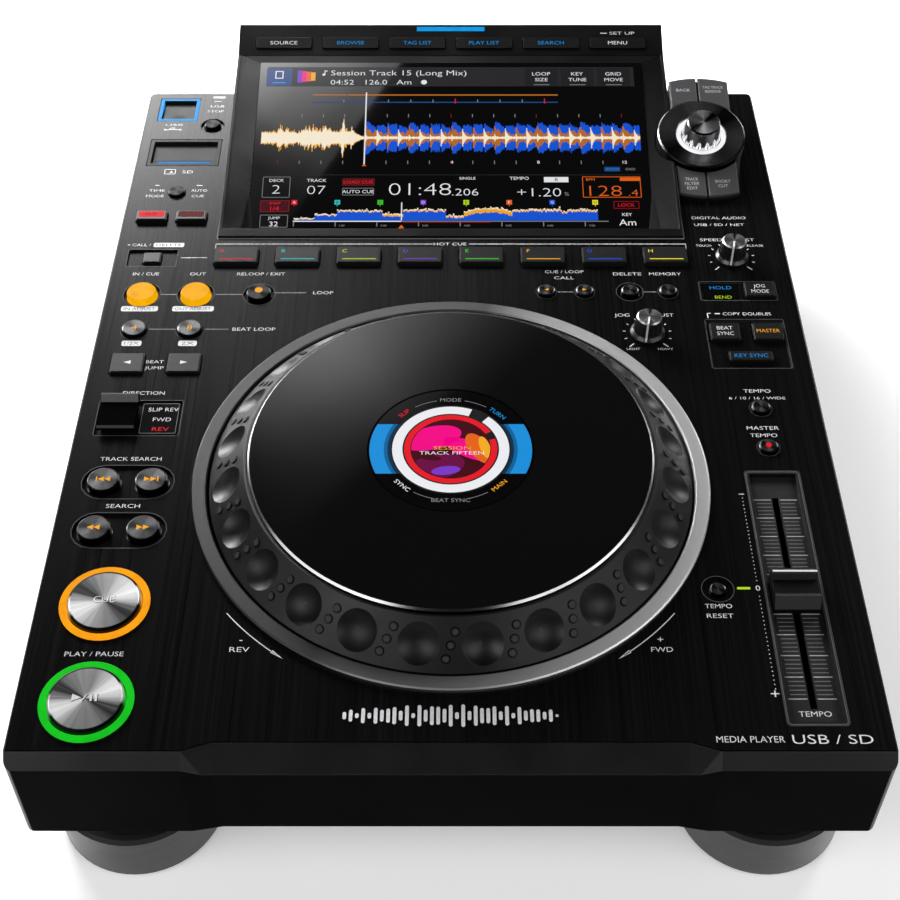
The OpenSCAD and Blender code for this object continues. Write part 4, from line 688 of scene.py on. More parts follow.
def panel_print():
    p = Print("panel_print", "player", PANEL)
    w, g = "ink_white", "ink_grey"
    # words by the height of their capitals: word, place, width
    for h, rows in (
            (2.1, (("DIRECTION", -137.5, -23.1, 18.7), ("TRACK SEARCH", -137.7, -63.2, 26.4),
                  ("SEARCH", -137.3, -90.0, 14.3), ("PLAY / PAUSE", -137.7, -165.5, 22.8),
                  ("IN / CUE", -147.3, 58.3, 12.6), ("OUT", -122.2, 58.3, 7.8),
                  ("RELOOP / EXIT", -91.7, 58.3, 23.2), ("LOOP", -60.9, 44.6, 9.6),
                  ("BEAT LOOP", -91.8, 19.0, 20.1), ("DELETE", 85.3, 58.3, 13.6), ("MEMORY", 103.6, 58.3, 15.5),
                  ("JOG", 80.6, 28.8, 7.2), ("ADJUST", 98.6, 28.8, 12.6), ("TEMPO", 137.4, -21.8, 12.2),
                  ("MASTER", 136.9, -44.8, 14.2), ("TEMPO", 136.7, -49.2, 11.9), ("TEMPO", 106.1, -142.4, 10.8),
                  ("RESET", 106.2, -147.2, 10.6))),
            (1.9, (("BEAT", -135.2, -2.9, 8.2), ("JUMP", -135.0, -6.9, 8.6), ("TIME", -150.4, 123.4, 8.2),
                  ("MODE", -150.8, 118.9, 9.0), ("AUTO", -128.8, 123.4, 8.4), ("CUE", -129.0, 118.9, 6.4),
                  ("USB", -126.8, 197.3, 7.4), ("STOP", -127.4, 192.7, 8.8),
                  ("USB / SD / NET", 134.2, 95.8, 25.0))),
            (2.2, (("SD", -136.4, 139.0, 5.4),)),
            (1.5, (("USB", -148.3, 180.3, 9.4), ("TOUCH", 124.6, 79.6, 7.6), ("RELEASE", 149.2, 79.6, 9.6))),
            (2.0, (("HOT CUE", -0.3, 80.8, 16.2), ("CUE / LOOP", 55.0, 59.9, 18.8), ("CALL", 54.7, 55.4, 9.6),
                  ("SPEED ADJUST", 136.7, 84.0, 27.0), ("DOUBLES", 144.2, 29.6, 13.4),
                  ("COPY", 132.2, 29.6, 8.2), ("DIGITAL AUDIO", 134.6, 101.2, 27.0))),
            (1.4, (("LIGHT", 84.2, 5.6, 6.2), ("HEAVY", 99.0, 5.6, 7.0))),
            (1.6, (("6 / 10 / 16 / WIDE", 136.9, -26.3, 25.2),))):
        for s, x, y, width in rows:
            p.word(s, x, y, h, width, w)
    # the small marks over the second functions of the keys
    for x, y, q in ((-150.6, 127.6, 2.2), (-129.0, 127.6, 3.0), (-126.9, 201.8, 4.0), (-158.6, 80.1, 1.2)):
        p.rect(x, y, q, 0.5, w)
    p.rrect(-126.6, 205.6, 6.6, 1.7, 0.3, w)
    p.frame(-145.6, 139.2, 5.8, 4.2, 0.35, w, 0.5)
    p.tri(-144.9, 139.2, 1.8, 1.9, w, 90)
    # a plug's sign under the USB cover
    p.rect(-148.6, 176.0, 7.6, 0.5, w)
    p.tri(-144.2, 176.0, 1.6, 1.7, w)
    p.disc(-152.6, 176.0, 0.8, w, k=12)
    p.line([(-150.8, 176.0), (-149.6, 177.4), (-147.4, 177.4)], 0.35, w)
    # the call key's label, with its second word in a box
    p.word("CALL /", -152.4, 80.1, 1.9, 9.2, w)
    p.rrect(-138.9, 80.1, 15.0, 3.2, 0.8, w)
    p.word("DELETE", -138.9, 80.1, 1.8, 12.4, "ink_black", z=0.06)
    for s in (-1, 1):
        p.rect(s * 62.5, 80.8, 107, 0.4, w)
        p.rect(s * 115.8, 79.0, 0.5, 3.8, g)
    # lines that join the keys of a group
    for x0, x1, y in ((-138.2, -130.8, 43.4), (-112.4, -99.4, 43.4), (-84.4, -69.0, 44.6), (-140.6, -128.4, 19.0),
                      (-114.6, -103.6, 19.0), (51.2, 58.4, 45.2), (91.6, 98.2, 45.2), (-132.0, -119.0, 70.4)):
        p.rect((x0 + x1) / 2, y, x1 - x0, 0.35, w if y > 70 else g)
    p.line([(120.9, 26.6), (120.9, 30.0), (122.4, 30.0)], 0.5, w)
    p.rect(125.6, 29.8, 2.6, 0.6, w)
    # white label pills
    for x, y, s, wd in ((-147.1, 33.2, "IN ADJUST", 17.4), (-121.8, 33.2, "OUT ADJUST", 19.6),
                        (-147.6, 9.4, "1/2X", 9.2), (-121.7, 9.4, "2X", 8.6)):
        p.rrect(x, y, wd, 3.6, 1.0, w)
        p.word(s, x, y, 2.0, wd - 2.6, "ink_black", z=0.06)
    # arrows beside the jog wheel
    for s, word, sign, wd in ((-1, "REV", "-", 7.8), (1, "FWD", "+", 8.5)):
        pts = []
        for i in range(13):
            q = radians(-140.7 + i * 14.8 / 12)
            pts.append((-s * 114.2 * cos(q), WHEEL_Y + 114.2 * sin(q)))
        p.line(pts, 0.4, w)
        (ax, ay), (bx, by) = pts[-3], pts[-1]
        turn = degrees(atan2(by - ay, bx - ax))
        p.tri(bx, by, 6.0, 1.5, w, turn)
        p.word(word, s * 81.8, -163.4, 2.3, wd, w)
        p.text(sign, s * 81.6, -158.6, 3.0, w)
    # tempo scale
    for i in range(49):
        y = -85.6 - i * 2.0
        if abs(y + 133.6) > 2.2:
            p.disc(122.95 - 0.0035 * (y + 133), y, 0.24, w, k=8)
    p.text("0", 122.9, -133.4, 2.5, w)
    p.text("+", 122.7, -183.9, 4.2, w)
    p.rect(122.6, -83.4, 2.3, 0.4, w)
    p.rrect(117.2, -133.5, 5.4, 1.2, 0.5, "glow_lime", z=0.06)
    # knob scales
    for x, y in KNOBS.values():
        for i in range(11):
            q = radians(225 - 27 * i)
            r0, r1, wide = (9.6, 12.6, 0.55) if i % 5 == 0 else (10.2, 11.4, 0.45)
            p.line([(x + r * cos(q), y + r * sin(q)) for r in (r0, r1)], wide, w)
    # a bar pattern in the middle of the front, and the kind of device at the right
    for i in range(35):
        t = (i - 17) / 17
        h = (2.0 + 8.0 * abs(sin(i * 1.37 + 0.6))) * (1 - 0.5 * t * t)
        p.rrect(i * 2.34 - 17 * 2.34, -193.6, 1.4, h, 0.7, w)
    p.word("MEDIA PLAYER", 110.8, -203.9, 2.7, 25.4, w)
    p.word("USB / SD", 141.2, -203.9, 3.9, 30.0, w)
    # painted highlights: along the front and side edges of the display's housing, and on the thin edges of the wells
    p.rect(0, 84.9, 231.2, 0.8, "edge_light")
    for s in (-1, 1):
        p.rect(s * 115.7, 145.0, 0.5, 119.4, "ink_dim")
    e = "edge_line"
    for x, y, a, b, t, q in (
            (-137.2, -76.5, 40.0, 19.6, 0.45, 9.8), (-137.2, -103.2, 40.0, 19.6, 0.45, 9.8),
            (-145.9, 70.2, 24.8, 13.2, 0.4, 1.2), (-137.7, -38.6, 37.9, 22.1, 0.45, 1.3),
            (137.3, 45.9, 37.0, 14.0, 0.45, 1.3), (137.5, 9.3, 37.2, 33.4, 0.4, 1.3),
            (137.1, -134.1, 23.9, 128.2, 0.4, 1.8)):
        p.frame(x, y, a, b, t, e, q)
    for x, y, q in ((-147.3, 43.4, 8.7), (-121.7, 43.4, 8.7), (-91.5, 43.4, 7.5), (-127.6, 179.4, 6.3),
                    (85.6, 45.2, 6.3), (106.8, -133.9, 6.3)):
        p.ring(x, y, q, q + 0.4, e)
    for q, names in ((6.4, "beat_loop_4 beat_loop_8"),
                     (4.8, "time_mode memory tempo_range master_tempo cue_call_back cue_call_forward")):
        for k in names.split():
            p.ring(*KEYS[k], q, q + 0.3, e)
    p.done()
    # painted highlights on the inner edges of two wells and of the tray
    Print("frame_print", "player", PANEL, -0.56).draw(
        ("frame", 137.5, 9.3, 36.0, 32.2, 0.35, e, 1.0), ("frame", 137.3, 45.9, 35.8, 12.8, 0.35, e, 1.0)).done()
    Print("tray_print", "player", PANEL, 0.02).draw(
        ("frame", 137.1, -134.1, 22.7, 127.0, 0.35, "edge_tray", 1.5)).done()


panel_print()


def cheeks():
    """Skins that carry the recess's side walls on over the panel's corners, down to the glass"""
    p = Print("housing_cheeks", "player", PANEL)
    for s, mat in ((-1, "slope_left"), (1, "slope_right")):
        a, b, c = (s * 111.2, 92.0, 0.04), (s * 104.9, 121.0, 0.04), (s * 104.9, 92.0, 0.04)
        d, e = (s * 103.5, 118.5, -1.1), (s * 103.1, 95.8, -4.7)
        p.slab((a, b, c), mat)
        p.slab((c, b, d, e), mat)
    p.done()


cheeks()


def key_prints():
    def stamp(key, h, *shapes):
        Print(key + "_button_print", key + "_button", plane(*KEYS[key], h)).draw(*shapes).done()

    A, W = "glow_amber", "ink_white"
    pause = []
    # each sign over a black copy shifted down and right: a painted shadow
    for c, o, z in (("ink_black", 0.22, 0.03), (W, 0.0, 0.05)):
        pause += [("tri", -3.4 + o, 0.4 - o, 3.6 + o, 3.3 + o, c, 0, z),
                  ("line", [(-1.3 + o, -1.1 - o), (0.6 + o, 2.0 - o)], 0.5 + o, c, z)]
        pause += [("rect", x + o, 0.4 - o, 0.85 + o, 3.3 + o, c, z) for x in (2.1, 4.0)]
    stamp("play", 2.4, *pause)
    # the word over a black copy shifted down and right: a painted shadow
    stamp("cue", 2.4, ("word", "CUE", 0.2, 0.2, 3.3, 8.8, "ink_black"), ("word", "CUE", 0, 0.4, 3.1, 8.4, W, 0.05))
    for key, d in (("track_back", -1), ("track_next", 1)):
        stamp(key, 2.0, *[("tri", d * (1.35 * i - 0.4), 0, 2.6, 2.7, A, 90 - 90 * d) for i in (-1, 1)],
              ("rect", d * 2.8, 0, 0.6, 2.7, A))
    for key, d in (("search_back", -1), ("search_forward", 1)):
        stamp(key, 2.0, *[("tri", d * 1.35 * i, 0, 2.6, 2.7, A, 90 - 90 * d) for i in (-1, 1)])
    for q in "48":
        stamp("beat_loop_" + q, 1.6, ("text", q, 0, 0, 3.0, A, 0, 1.3))
    stamp("beat_jump_back", 1.6, ("tri", 0, 0, 3.2, 2.2, W, 180))
    stamp("beat_jump_forward", 1.6, ("tri", 0, 0, 3.2, 2.2, W))
    stamp("reloop", 2.0, ("disc", 0, 1.0, 1.9, A))
    stamp("cue_call_back", 1.6, ("tri", 0, 0, 2.0, 1.7, A, 180))
    stamp("cue_call_forward", 1.6, ("tri", 0, 0, 2.0, 1.7, A))
    for key, word, width, under, over in (("slip", "SLIP", 6.0, "glow_red", "glow_wine"),
                                          ("quantize", "QUANTIZE", 10.4, "glow_maroon", "glow_dark_red")):
        stamp(key, 2.6, ("rrect", 0, 0.5, 12.8, 4.4, 0.8, under), ("word", word, 0, 0.5, 1.9, width, over, 0.06))
    for key, c, *rows in (("jog_mode", W, ("JOG", 5.6), ("MODE", 8.4)),
                          ("beat_sync", W, ("BEAT", 7.4), ("SYNC", 7.8)),
                          ("master", A, ("MASTER", 10.8)), ("key_sync", "glow_sky", ("KEY SYNC", 15.4))):
        stamp(key, 1.6, *[("word", t, 0, (len(rows) - 1) * 1.9 - i * 3.8, 2.3, wd, c)
                          for i, (t, wd) in enumerate(rows)])
    stamp("master_tempo", 1.6, ("disc", 0, 0.2, 1.3, "glow_red"))
    # the four keys round the selector
    inv = POD.inverted()
    for k, x, y, rows in (("back_button", -6.9, 31.5, (("BACK", 7.4),)),
                          ("tag_track_button", 8.8, 32.0, (("TAG TRACK", 11.0), ("REMOVE", 8.2))),
                          ("track_filter_button", -6.9, -31.2, (("TRACK", 6.8), ("FILTER", 7.4), ("EDIT", 5.4))),
                          ("shortcut_button", 8.8, -31.2, (("SHORT", 8.0), ("CUT", 5.0)))):
        p = Print(k + "_print", k, POD, max((inv @ v.co).z for v in nodes[k].data.vertices) + 0.03)
        for i, (t, wd) in enumerate(rows):
            p.word(t, x, y + ((len(rows) - 1) / 2 - i) * 2.9, 1.8, wd, "ink_key")
        p.done()
    # white pointers of the two setting knobs: over the top and down the side
    for k, at in KNOBS.items():
        p = Print(k + "_print", k, plane(*at, 0))
        a = radians(-101.25)
        c, q = cos(a), sin(a)
        line = [(0.6, 11.04), (5.2, 11.04), (5.84, 10.44), (6.74, 3.3), (7.9, 1.75)]
        for (r0, z0), (r1, z1) in zip(line, line[1:]):
            p.slab([(r0 * c - h * q, r0 * q + h * c, z0) for h in (0.45, -0.45)]
                   + [(r1 * c - h * q, r1 * q + h * c, z1) for h in (-0.45, 0.45)], "ink_white")
        p.done()
    # doors: a lit front edge, and the finger notch's shade
    Print("sd_door_print", "sd_door", plane(-139.9, 155.8, -1.8)).draw(
        ("rect", 0, -6.9, 27.0, 2.4, "glow_sky"), ("rect", 0, -5.3, 30.0, 0.8, "glow_sky_3")).done()
    arc = [pi * i / 12 for i in range(13)]
    notch = [(4.6 * cos(q), -6.9 + 4.4 * sin(q)) for q in arc]
    Print("usb_cover_print", "usb_cover", plane(-147.3, 194.0, -1.8)).draw(("face", notch, "edge_dark")).done()
    # studs of the wheel: a painted shade ring round each and a painted highlight in its middle
    p = Print("stud_print", "jog", JOG)
    sa = atan2(15.0, 15.8)
    for i in range(24):
        for k in (-1, 0, 1):
            a = radians(i * 15 + k * 1.1)
            d = 10.89 + k * 5.2
            at = Matrix.Translation((102.3 - d * cos(sa), 0, 1.5 + d * sin(sa)))
            p.matrix = JOG @ Matrix.Rotation(a, 4, "Z") @ at @ Matrix.Rotation(sa, 4, "Y")
            p.ring(0, 0, 1.52, 1.95, "edge_dark", z=0.02, seg=16)
            p.disc(0, 0, 1.1, "edge_line", z=0.52, k=12)
    p.matrix = JOG
    p.done()
    rear = (Matrix.Translation(place(84, 210.4, -26)) @ Matrix.Rotation(pi / 2, 4, "X")
            @ Matrix.Rotation(pi, 4, "Y") @ Matrix.Scale(MM, 4))
    Print("power_button_print", "power_button", rear).draw(
        ("ring", 0, 0, 1.3, 1.7, W, 120, 420), ("rect", 0, 1.5, 0.4, 1.6, W)).done()


key_prints()


def hot_prints():
    p = Print("hot_cue_print", "hot_cue_keys", plane(0, 70.2, 2.4))
    for i, c in enumerate(("red", "cyan", "lime", "violet", "green", "amber", "blue", "yellow")):
        x = (i - 3.5) * 29.9
        p.rect(x + 0.3, -3.4, 16.4, 0.6, "glow_" + c)
        p.text("ABCDEFGH"[i], x - 7.0, 2.6, 2.3, "glow_" + c)
    p.done()
    p = Print("strip_print", "display_keys", STRIP, 0.53)
    for i, (s, wd, c) in enumerate((("SOURCE", 14.7, "glow_white"), ("BROWSE", 14.7, "glow_sky"),
                                    ("TAG LIST", 15.2, "glow_sky"), ("PLAY LIST", 16.4, "glow_sky"),
                                    ("SEARCH", 14.2, "glow_sky"), ("MENU", 10.4, "glow_white"))):
        p.word(s, (i - 2.5) * 36.3, 7.7, 2.2, wd, c)
    p.done()
    Print("housing_print", "player", STRIP).draw(
        ("word", "SET UP", 93.4, 14.3, 1.9, 13.6), ("rect", 83.4, 14.3, 3.6, 0.5, "ink_white")).done()


hot_prints()


def window_prints():
    Print("direction_print", "player", plane(-127.4, -38.6, -0.3)).draw(
        ("word", "SLIP REV", 0, 5.4, 2.2, 13.4), ("word", "FWD", 0, -0.7, 2.2, 8.0),
        ("word", "REV", 0, -6.5, 2.2, 7.4, "glow_red"), ("frame", -1.2, 0, 16.2, 18.4, 0.3, "ink_dim", 0.8)).done()
    Print("mode_print", "player", plane(129.3, 45.9, -0.3)).draw(
        ("word", "HOLD", 0, 2.7, 2.3, 10.4, "glow_sky"), ("word", "BEND", 0.6, -4.1, 2.1, 8.0, "glow_lime")).done()


window_prints()


def fader_prints():
    p = Print("fader_scale", "player", plane(*FADER_AT, -2.4))
    for i in range(-25, 26):
        x0, x1, mat = (1.9, 9.2, "scale_light") if i % 5 == 0 else (1.9, 8.2, "scale_dim")
        for s in (-1, 1):
            p.rect(s * (x0 + x1) / 2, 1.7 + i * 2.0, x1 - x0, 0.45, mat)
    p.word("TEMPO", 0, -55.0, 2.3, 12.4)
    p.done()
    # a white line along the cap's rear ridge: a painted highlight
    Print("fader_cap_painted_highlight", "tempo_fader", plane(*FADER_AT, 0)).draw(("rect", 0, 6.2, 17.8, 0.9, "ink_white", 7.0)).done()


fader_prints()


def screen():
    # five levels, 0.02 mm apart, under the glass's rim; b is the usual one
    a, b, c, d, e = (-0.17 + k * 0.02 for k in range(5))
    p = Print("screen_picture", "player", GLASS, b, "glass_glow_")
    W = "white"
    # title bar
    p.rect(0, 103.3, 196.5, 13.6, "bar", z=a)
    p.rect(-92.0, 103.0, 13.6, 12.2, "deep")
    p.frame(-92.0, 104.6, 4.4, 5.4, 0.6, W, z=c)
    p.rect(-92.0, 99.0, 7, 0.8, "sky", z=c)
    for i, col in enumerate(("violet", "pink", "orange", "amber")):
        p.rect(-81.0 + i * 2.4, 103.4, 2.4, 8.6 - i * 0.9, col)
    p.text("Session Track 15 (Long Mix)", -64.3, 106.0, 3.5, W, align=-1, wide=1.24, thin=0.006)
    p.text("04:52   126.0   Am", -64.3, 99.4, 3.3, W, align=-1, wide=1.2, thin=0.006)
    p.line([(-67.6, 104.8), (-67.6, 107.6), (-66.2, 107.2)], 0.5, W)
    p.disc(-68.2, 104.8, 0.8, W, k=12)
    p.disc(-14.3, 99.4, 1.6, W)
    for x, s in ((48.6, ("LOOP", "SIZE")), (67.9, ("KEY", "TUNE")), (87.3, ("GRID", "MOVE"))):
        p.rect(x, 103.0, 17.6, 12.8, "tile")
        p.text(s[0], x, 105.3, 2.3, W, z=c)
        p.text(s[1], x, 101.2, 2.3, W, z=c)
        p.rect(x, 97.6, 8.5, 0.5, "grey", z=c)
    # phrase lines
    p.rect(1.0, 90.4, 112, 0.8, "brown")
    p.rect(1.0, 85.3, 112, 0.8, "deep")
    p.rect(-64.5, 90.4, 18, 0.7, "brown")
    p.rect(-64.5, 85.3, 18, 0.7, "deep")
    for i in range(10):
        x = -56.8 + i * 11.85
        red = i in (5, 9)
        p.rect(x, 86.2, 0.5, 3.4 if red else 2.0, "red" if red else "grey", z=c)
    for i in range(17):
        x = -89.8 + i * 11.25
        for y in (76.0, 44.5):
            red = i % 4 == 0
            p.rect(x, y, 0.45, 2.2, "dark_red" if red else "grey")
    for x, s in ((0.6, "4"), (45.5, "8"), (90.3, "12")):
        p.text(s, x, 44.6, 1.8, W, z=c)

    # large waveform: blue body, brown middle and pale core, in columns
    def column(x, w, h, col, z):
        p.rect(x, 60.9, w, 2 * h, col, z=z)

    n = 460
    spike = 0.0
    for i in range(n):
        x = -99.2 + (i + 0.5) * 198.4 / n
        w = 198.4 / n + 0.03
        beat = (x + 100.9) % 11.25 / 11.25
        half = beat * 2 % 1
        r1, r2, r3 = (random.random() for _ in range(3))
        if x < -45:
            spike = max(spike * 0.72, 5.2 * r3 if r1 > 0.86 else 0)
            core = 2.6 + 1.8 * exp(-beat * 4) + 1.3 * r1 + spike * 0.55
            if abs(x + 56.4) < 1.1:
                core = 13 - 9 * abs(x + 56.4)
            fringe = core + (0.5 + 2.4 * r2 * r2) * (0.4 + 0.6 * abs(sin(x * 0.16)))
            if x > -52:
                core *= (-45 - x) / 7 * 0.85 + 0.15
                fringe = core + 0.8 * r2
            column(x, w, fringe, "amber", b)
            column(x, w, core, "cream", c)
        else:
            body = 10.3 - 2.4 * half if beat < 0.5 else 9.2 - 2.6 * half
            body += 1.5 * (r1 - 0.5) + 0.7 * sin(x * 0.83)
            if half < 0.07 or half > 0.96:
                body -= 2.6
            grow = 0.55 + 0.45 * sin(x * 0.29 + 1)
            mid = 2.0 + 3.6 * grow * abs(sin(pi * half * 1.5)) + 1.0 * (r2 - 0.5)
            mid = max(10.5 * exp(-beat * 8), mid)
            core = max(7.4 * exp(-9 * ((beat + 0.5) % 1)), 3.4 * exp(-beat * 16), 0.5 + 0.6 * r3)
            column(x, w, body, "blue", b)
            column(x, w, min(mid, body), "brown", c)
            column(x, w, core, "cream", d)
    p.rect(-44.9, 67.6, 0.7, 49, W, z=e)
    p.tri(-44.9, 42.8, 1.6, 2.4, "orange", 90, z=e)
    p.rrect(83.5, 40.0, 8.2, 3.0, 0.5, "deep")
    p.text("ZOOM", 83.5, 40.0, 1.4, "sky", z=c)
    p.text("GRID", 92.9, 40.0, 1.4, "grey", z=c)
    # information row: bars and frames, then words
    p.draw(("rect", 0, 36.2, 197, 0.35, "bar"), ("frame", -89.6, 28.2, 14.2, 13.6, 0.32, "grey", 0.6),
           ("rrect", -47.5, 31.5, 16.8, 5.0, 0.4, "maroon"), ("frame", -47.5, 25.3, 16.2, 4.7, 0.32, "grey", 0.4),
           ("rect", 54.3, 33.1, 12.6, 3.4, W), ("frame", 82.7, 28.3, 30, 13.6, 0.36, "orange", 0.4),
           ("rect", 92.4, 33.4, 10.6, 2.2, "orange"), ("rrect", -89.7, 15.9, 14.9, 7.4, 0.4, "wine"),
           ("frame", -89.7, 15.9, 14.9, 7.4, 0.45, "dark_red", 0.4, c),
           ("frame", -89.7, 6.4, 14.2, 8.0, 0.32, "grey", 0.4),
           ("frame", 89.6, 16.7, 13.2, 4.9, 0.45, "dark_red", 0.4))

    def say(s, x, y, h, col=W, z=b, wide=1.12, thin=0.0):
        p.text(s, x, y, h, col, 0, wide, z, 0, thin)

    for row in (
            ("DECK", -89.6, 32.6, 1.8), ("2", -89.6, 26.8, 5.6, W, b, 1.25, 0.02), ("TRACK", -69.0, 32.6, 1.9),
            ("07", -69.0, 26.4, 5.6, W, b, 1.25, 0.02), ("LOAD CUE", -47.5, 31.5, 1.9, "red", c),
            ("AUTO CUE", -47.5, 25.3, 2.0), ("01:48", -15.8, 26.9, 7.9, W, b, 1.3, 0.02),
            (".206", 7.4, 25.0, 4.4, W, b, 1.3, 0.014), ("SINGLE", 8.6, 34.0, 1.6), ("TEMPO", 35.3, 34.0, 1.9),
            ("8", 54.3, 33.1, 2.1, "ink_black", c), ("+1.20", 45.3, 24.9, 5.4, W, b, 1.3, 0.016),
            ("%", 59.4, 23.8, 2.2, "grey"), ("BPM", 71.9, 33.2, 1.6, "orange"),
            ("128", 79.4, 25.8, 6.8, "orange", b, 1.35, 0.02), (".4", 93.6, 24.6, 4.2, "orange", b, 1.25, 0.014),
            ("SNAP", -89.7, 17.8, 1.5, "red", c), ("1/4", -89.7, 14.4, 2.6, "red", c), ("JUMP", -89.7, 8.4, 1.6),
            ("32", -89.7, 4.6, 3.0), ("LOCK", 89.6, 16.7, 2.0, "red"), ("KEY", 89.6, 10.6, 1.8),
            ("Am", 89.6, 5.6, 3.8)):
        say(*row)
    # overview waveform
    # the track's parts: each part's end as a share, the height of its blue body, the height of its amber top
    parts = ((0.07, lambda t, r: 0.5 + 6 * t, 0.2), (0.14, lambda t, r: 2.8 + 0.4 * r, 0.4),
             (0.29, lambda t, r: 5.2 + 0.5 * r, 0.5), (0.36, lambda t, r: 2.2 + 0.5 * r, 1.2),
             (0.5, lambda t, r: 5.4 + 0.6 * r, 0.7), (0.56, lambda t, r: 1.6 + 0.6 * r, 0.9),
             (0.72, lambda t, r: 2.6 + 2.2 * sin((t - 0.56) / 0.16 * 3.1) + 0.5 * r, 2.4),
             (1, lambda t, r: 5.3 + 0.7 * r - (1.2 if 0.88 < t < 0.9 else 0), 0.8))
    n = 220
    for i in range(n):
        t = (i + 0.5) / n
        x = -79.6 + t * 154.4
        r1, r2 = random.random(), random.random()
        h, k = next((body(t, r1), top) for end, body, top in parts if t < end)
        h += 0.9 * (random.random() - 0.5)
        if random.random() > 0.93:
            k += 1.4 * random.random()
        p.rect(x, 6.8 + h / 2, 0.74, h, "blue")
        p.rect(x, 6.8 + h + k / 2, 0.74, k, "amber")
        p.rect(x, 6.8 + h + k + 0.2, 0.74, 0.4 + 0.9 * r2 * r2, "cream")
    p.rect(0, 6.3, 160, 0.5, "grey")
    p.rect(-52.5, 6.3, 55, 0.6, W, z=c)
    p.rect(-2, 5.6, 45, 0.4, "dark_red", z=c)
    for i in range(8):
        p.rect(-79.6 + i * 21.1, 4.6, 0.5, 3.0, "grey")
        if i:
            p.text("%d:00" % i, -76.2 + i * 21.1, 3.6, 1.1, "grey")
    for i, col in enumerate(("red", "cyan", "green", "violet", "lime", "orange", "blue", "yellow")):
        x = -79.8 + i * 21.93
        p.rect(x, 18.4, 2.9, 3.0, col)
        p.text("ABCDEFGH"[i], x, 18.4, 1.6, "ink_black" if i in (1, 2, 4, 7) else W, z=c, wide=1.0)
        p.rect(x, 16.4, 0.3, 1.2, col)
    p.rect(-25.0, 12.6, 0.6, 11.4, W, z=c)
    p.tri(-25.0, 3.0, 2.2, 3.0, "orange", 90, z=c)
    p.done()


screen()


def jog_display():
    z = 17.73    # of the display's face over the panel
    p = Print("jog_picture", "player", JOG, z, "glow_")
    # side patches of the same circle, darker towards the middle
    for ra, rb, col in ((25.3, 26.5, "sky_3"), (26.5, 28.0, "sky_2"), (28.0, 34.0, "sky")):
        for s in (0, pi):
            pts = []
            for q, back in ((rb, 1), (ra, -1)):
                lim = asin(14.1 / q)
                turns = [s + back * lim * t / 6 for t in range(-6, 7)]
                pts += [(q * cos(t), q * sin(t)) for t in turns]
            p.face(pts, col)
    p.disc(0, 0, 25.3, "ink_black", z=z + 0.02, k=64)
    p.ring(0, 0, 20.2, 24.5, "white", 68, 409, z=z + 0.04, seg=72)
    p.ring(0, 0, 16.9, 19.5, "red", 30, 377, z=z + 0.04, seg=64)
    p.disc(0, 0, 16.7, "wine", z=z + 0.04, k=64)
    # a generic picture: soft bands in warm colours
    for x0, y0, ra, rb, turn, col, dz in (
            (-5.5, -10.0, 11.5, 7.0, 15, "plum", 0.06), (-8.0, 6.0, 13.0, 6.5, 18, "pink", 0.08),
            (8.0, -0.5, 12.0, 4.6, -28, "pink", 0.08), (12.0, 0.0, 9.5, 4.4, -62, "orange", 0.10),
            (14.4, 0.5, 6.6, 2.2, -75, "amber", 0.12), (-9.0, -5.0, 5.2, 1.6, -12, "wine", 0.10),
            (-2.0, -12.4, 6.0, 2.4, 8, "violet", 0.08)):
        pts = []
        for i in range(48):
            q, t = 2 * pi * i / 48, radians(turn)
            a, b = ra * cos(q), rb * sin(q)
            a, b = x0 + a * cos(t) - b * sin(t), y0 + a * sin(t) + b * cos(t)
            d = hypot(a, b)
            if d > 16.5:
                a, b = a * 16.5 / d, b * 16.5 / d
            pts.append((a, b))
        p.face(pts, col, z=z + dz)
    p.word("SESSION", 0.6, 0.2, 1.9, 15.5, "amber", z=z + 0.14)
    p.word("TRACK FIFTEEN", 0.4, -2.6, 1.9, 27.0, "white", z=z + 0.14)
    # legend ring
    for s, a, col, h in (("MODE", 90, "grey", 2.0), ("SLIP", 134, "red", 2.0), ("TURN", 46, "sky", 2.0),
                         ("SYNC", 226, "white", 2.0), ("BEAT SYNC", 270, "grey", 1.9), ("MAIN", 314, "amber", 2.0)):
        q = radians(a)
        turn = a - 90 if a < 180 else a + 90
        p.text(s, 28.6 * cos(q), 28.6 * sin(q), h, col, turn)
    for a0, a1 in ((58, 78), (102, 122), (238, 256), (284, 302)):
        p.ring(0, 0, 28.5, 28.75, "grey", a0, a1)
    p.done()


jog_display()


# ---------- stage and light ----------
def light(name, where, size, radiance, target=(0, 0, 0.09)):
    d = bpy.data.lights.new(name, "AREA")
    d.shape = "RECTANGLE"
    d.size, d.size_y = size
    d.energy = radiance * pi * size[0] * size[1]
    o = add(name, d)
    o.location = where
    o.rotation_euler = (Vector(target) - Vector(where)).to_track_quat("-Z", "Y").to_euler()
    return o


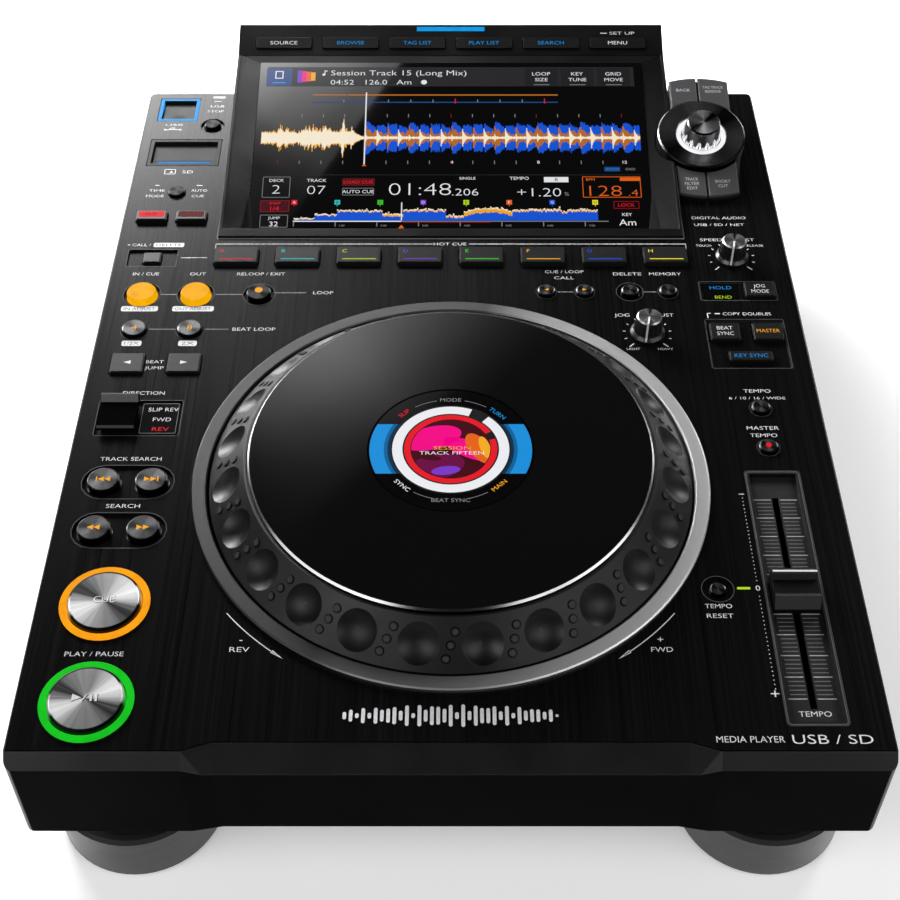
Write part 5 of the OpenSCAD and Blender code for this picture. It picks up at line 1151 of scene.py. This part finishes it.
def edge_light():
    """A soft box whose straight right edge gives the slanted reflection on the screen and the jog plate"""
    # the edge's direction, the way the box faces, and a point on the edge: solved from the reflections' edges
    d = Vector((0.36707, 0.84015, 0.39925))
    n = Vector((0.631, 0.0886, -0.770))
    n = (n - d * n.dot(d)).normalized()
    w = d.cross(n)
    if w.x > 0:
        w = -w
    p0 = place(-341.95, -48.43, 416.3)
    k0, k1, width = 0.30, 1.45, 0.85    # where the box starts and ends along the edge, and its width, in metres
    mid = p0 + d * (k0 + k1) / 2 + w * width / 2
    o = light("soft_box", mid, (width, k1 - k0), 1.0)
    z, x = -n, w
    y = z.cross(x)
    o.matrix_world = Matrix.Translation(mid) @ Matrix((x, y, z)).transposed().to_4x4()
    # uneven as a real box is: a bright spot towards the rear, and a hot outer side near its tubes
    o.data.use_nodes = True
    g = Nodes(o.data.node_tree)
    sep = g.node("SeparateXYZ")
    g.link(g.node("NewGeometry").outputs["Parametric"], sep.inputs[0])

    def curve(socket, pts, top):
        n = g.node("FloatCurve")
        c = n.mapping.curves[0]
        while len(c.points) < len(pts):
            c.points.new(0.5, 0.5)
        for q, (a, b) in zip(c.points, pts):
            q.location = (a, b / top)
            q.handle_type = "VECTOR"
        n.mapping.update()
        g.link(socket, n.inputs["Value"])
        return n.outputs[0]

    u, v = sep.outputs["X"], sep.outputs["Y"]
    if y.dot(d) <= 0:
        v = g.sub(1.0, v)
    spot = curve(v, [(0, .06), (.209, .14), (.243, .45), (.26, .8), (.313, 1.35), (.383, 2.3), (.461, 2.8),
                     (.574, 1.8), (.704, 1.2), (.87, .9), (1, .8)], 3)
    rise = curve(u, [(0, .12), (.024, .15), (.06, .32), (.082, .45), (.106, .75), (.141, 1.25), (.235, 1.3),
                     (.3, 1.0), (1, 1.0)], 1.5)
    hot = curve(u, [(0, 0), (.3, 0), (.36, .05), (.42, .2), (.5, .6), (.6, 1), (1, 1)], 1)
    total = g.add(g.mul(g.mul(spot, rise), 4.5), g.mul(hot, 36.0))
    g.link(total, g.tree.nodes["Emission"].inputs["Strength"])


edge_light()
for name, where, size, radiance in (
        ("fill_left", (-1.0, -0.95, 1.3), (1.2, 0.8), 4.0), ("fill_right", (1.0, -0.9, 1.3), (1.2, 0.8), 3.0),
        ("rim_right", (0.8, 0.8, 0.65), (0.3, 0.5), 13.0), ("side_right", (1.2, -0.4, 0.5), (0.9, 0.5), 1.2),
        ("side_left", (-1.2, -0.5, 0.5), (0.9, 0.5), 0.9)):
    light(name, where, size, radiance)

floor_mesh = bpy.data.meshes.new("floor")
bm = bmesh.new()
bmesh.ops.create_grid(bm, x_segments=1, y_segments=1, size=6)
bm.to_mesh(floor_mesh)
bm.free()
floor = add("floor", floor_mesh)
fm = Mat("floor_pale", grey(0.85), 0.9, spec=0.1, emit=(1, 1, 1), power=0.3)
fm.grain(3.0, 0.00001, 0.01)
floor_mesh.materials.append(fm.m)

world = bpy.data.worlds.new("studio")
scene.world = world
world.use_nodes = True
g = Nodes(world.node_tree)
seen = g.node("LightPath").outputs["Is Camera Ray"]
g.link(g.mix(seen, grey(0.009, 0.0094), grey(1.0)), g.tree.nodes["Background"].inputs["Color"])
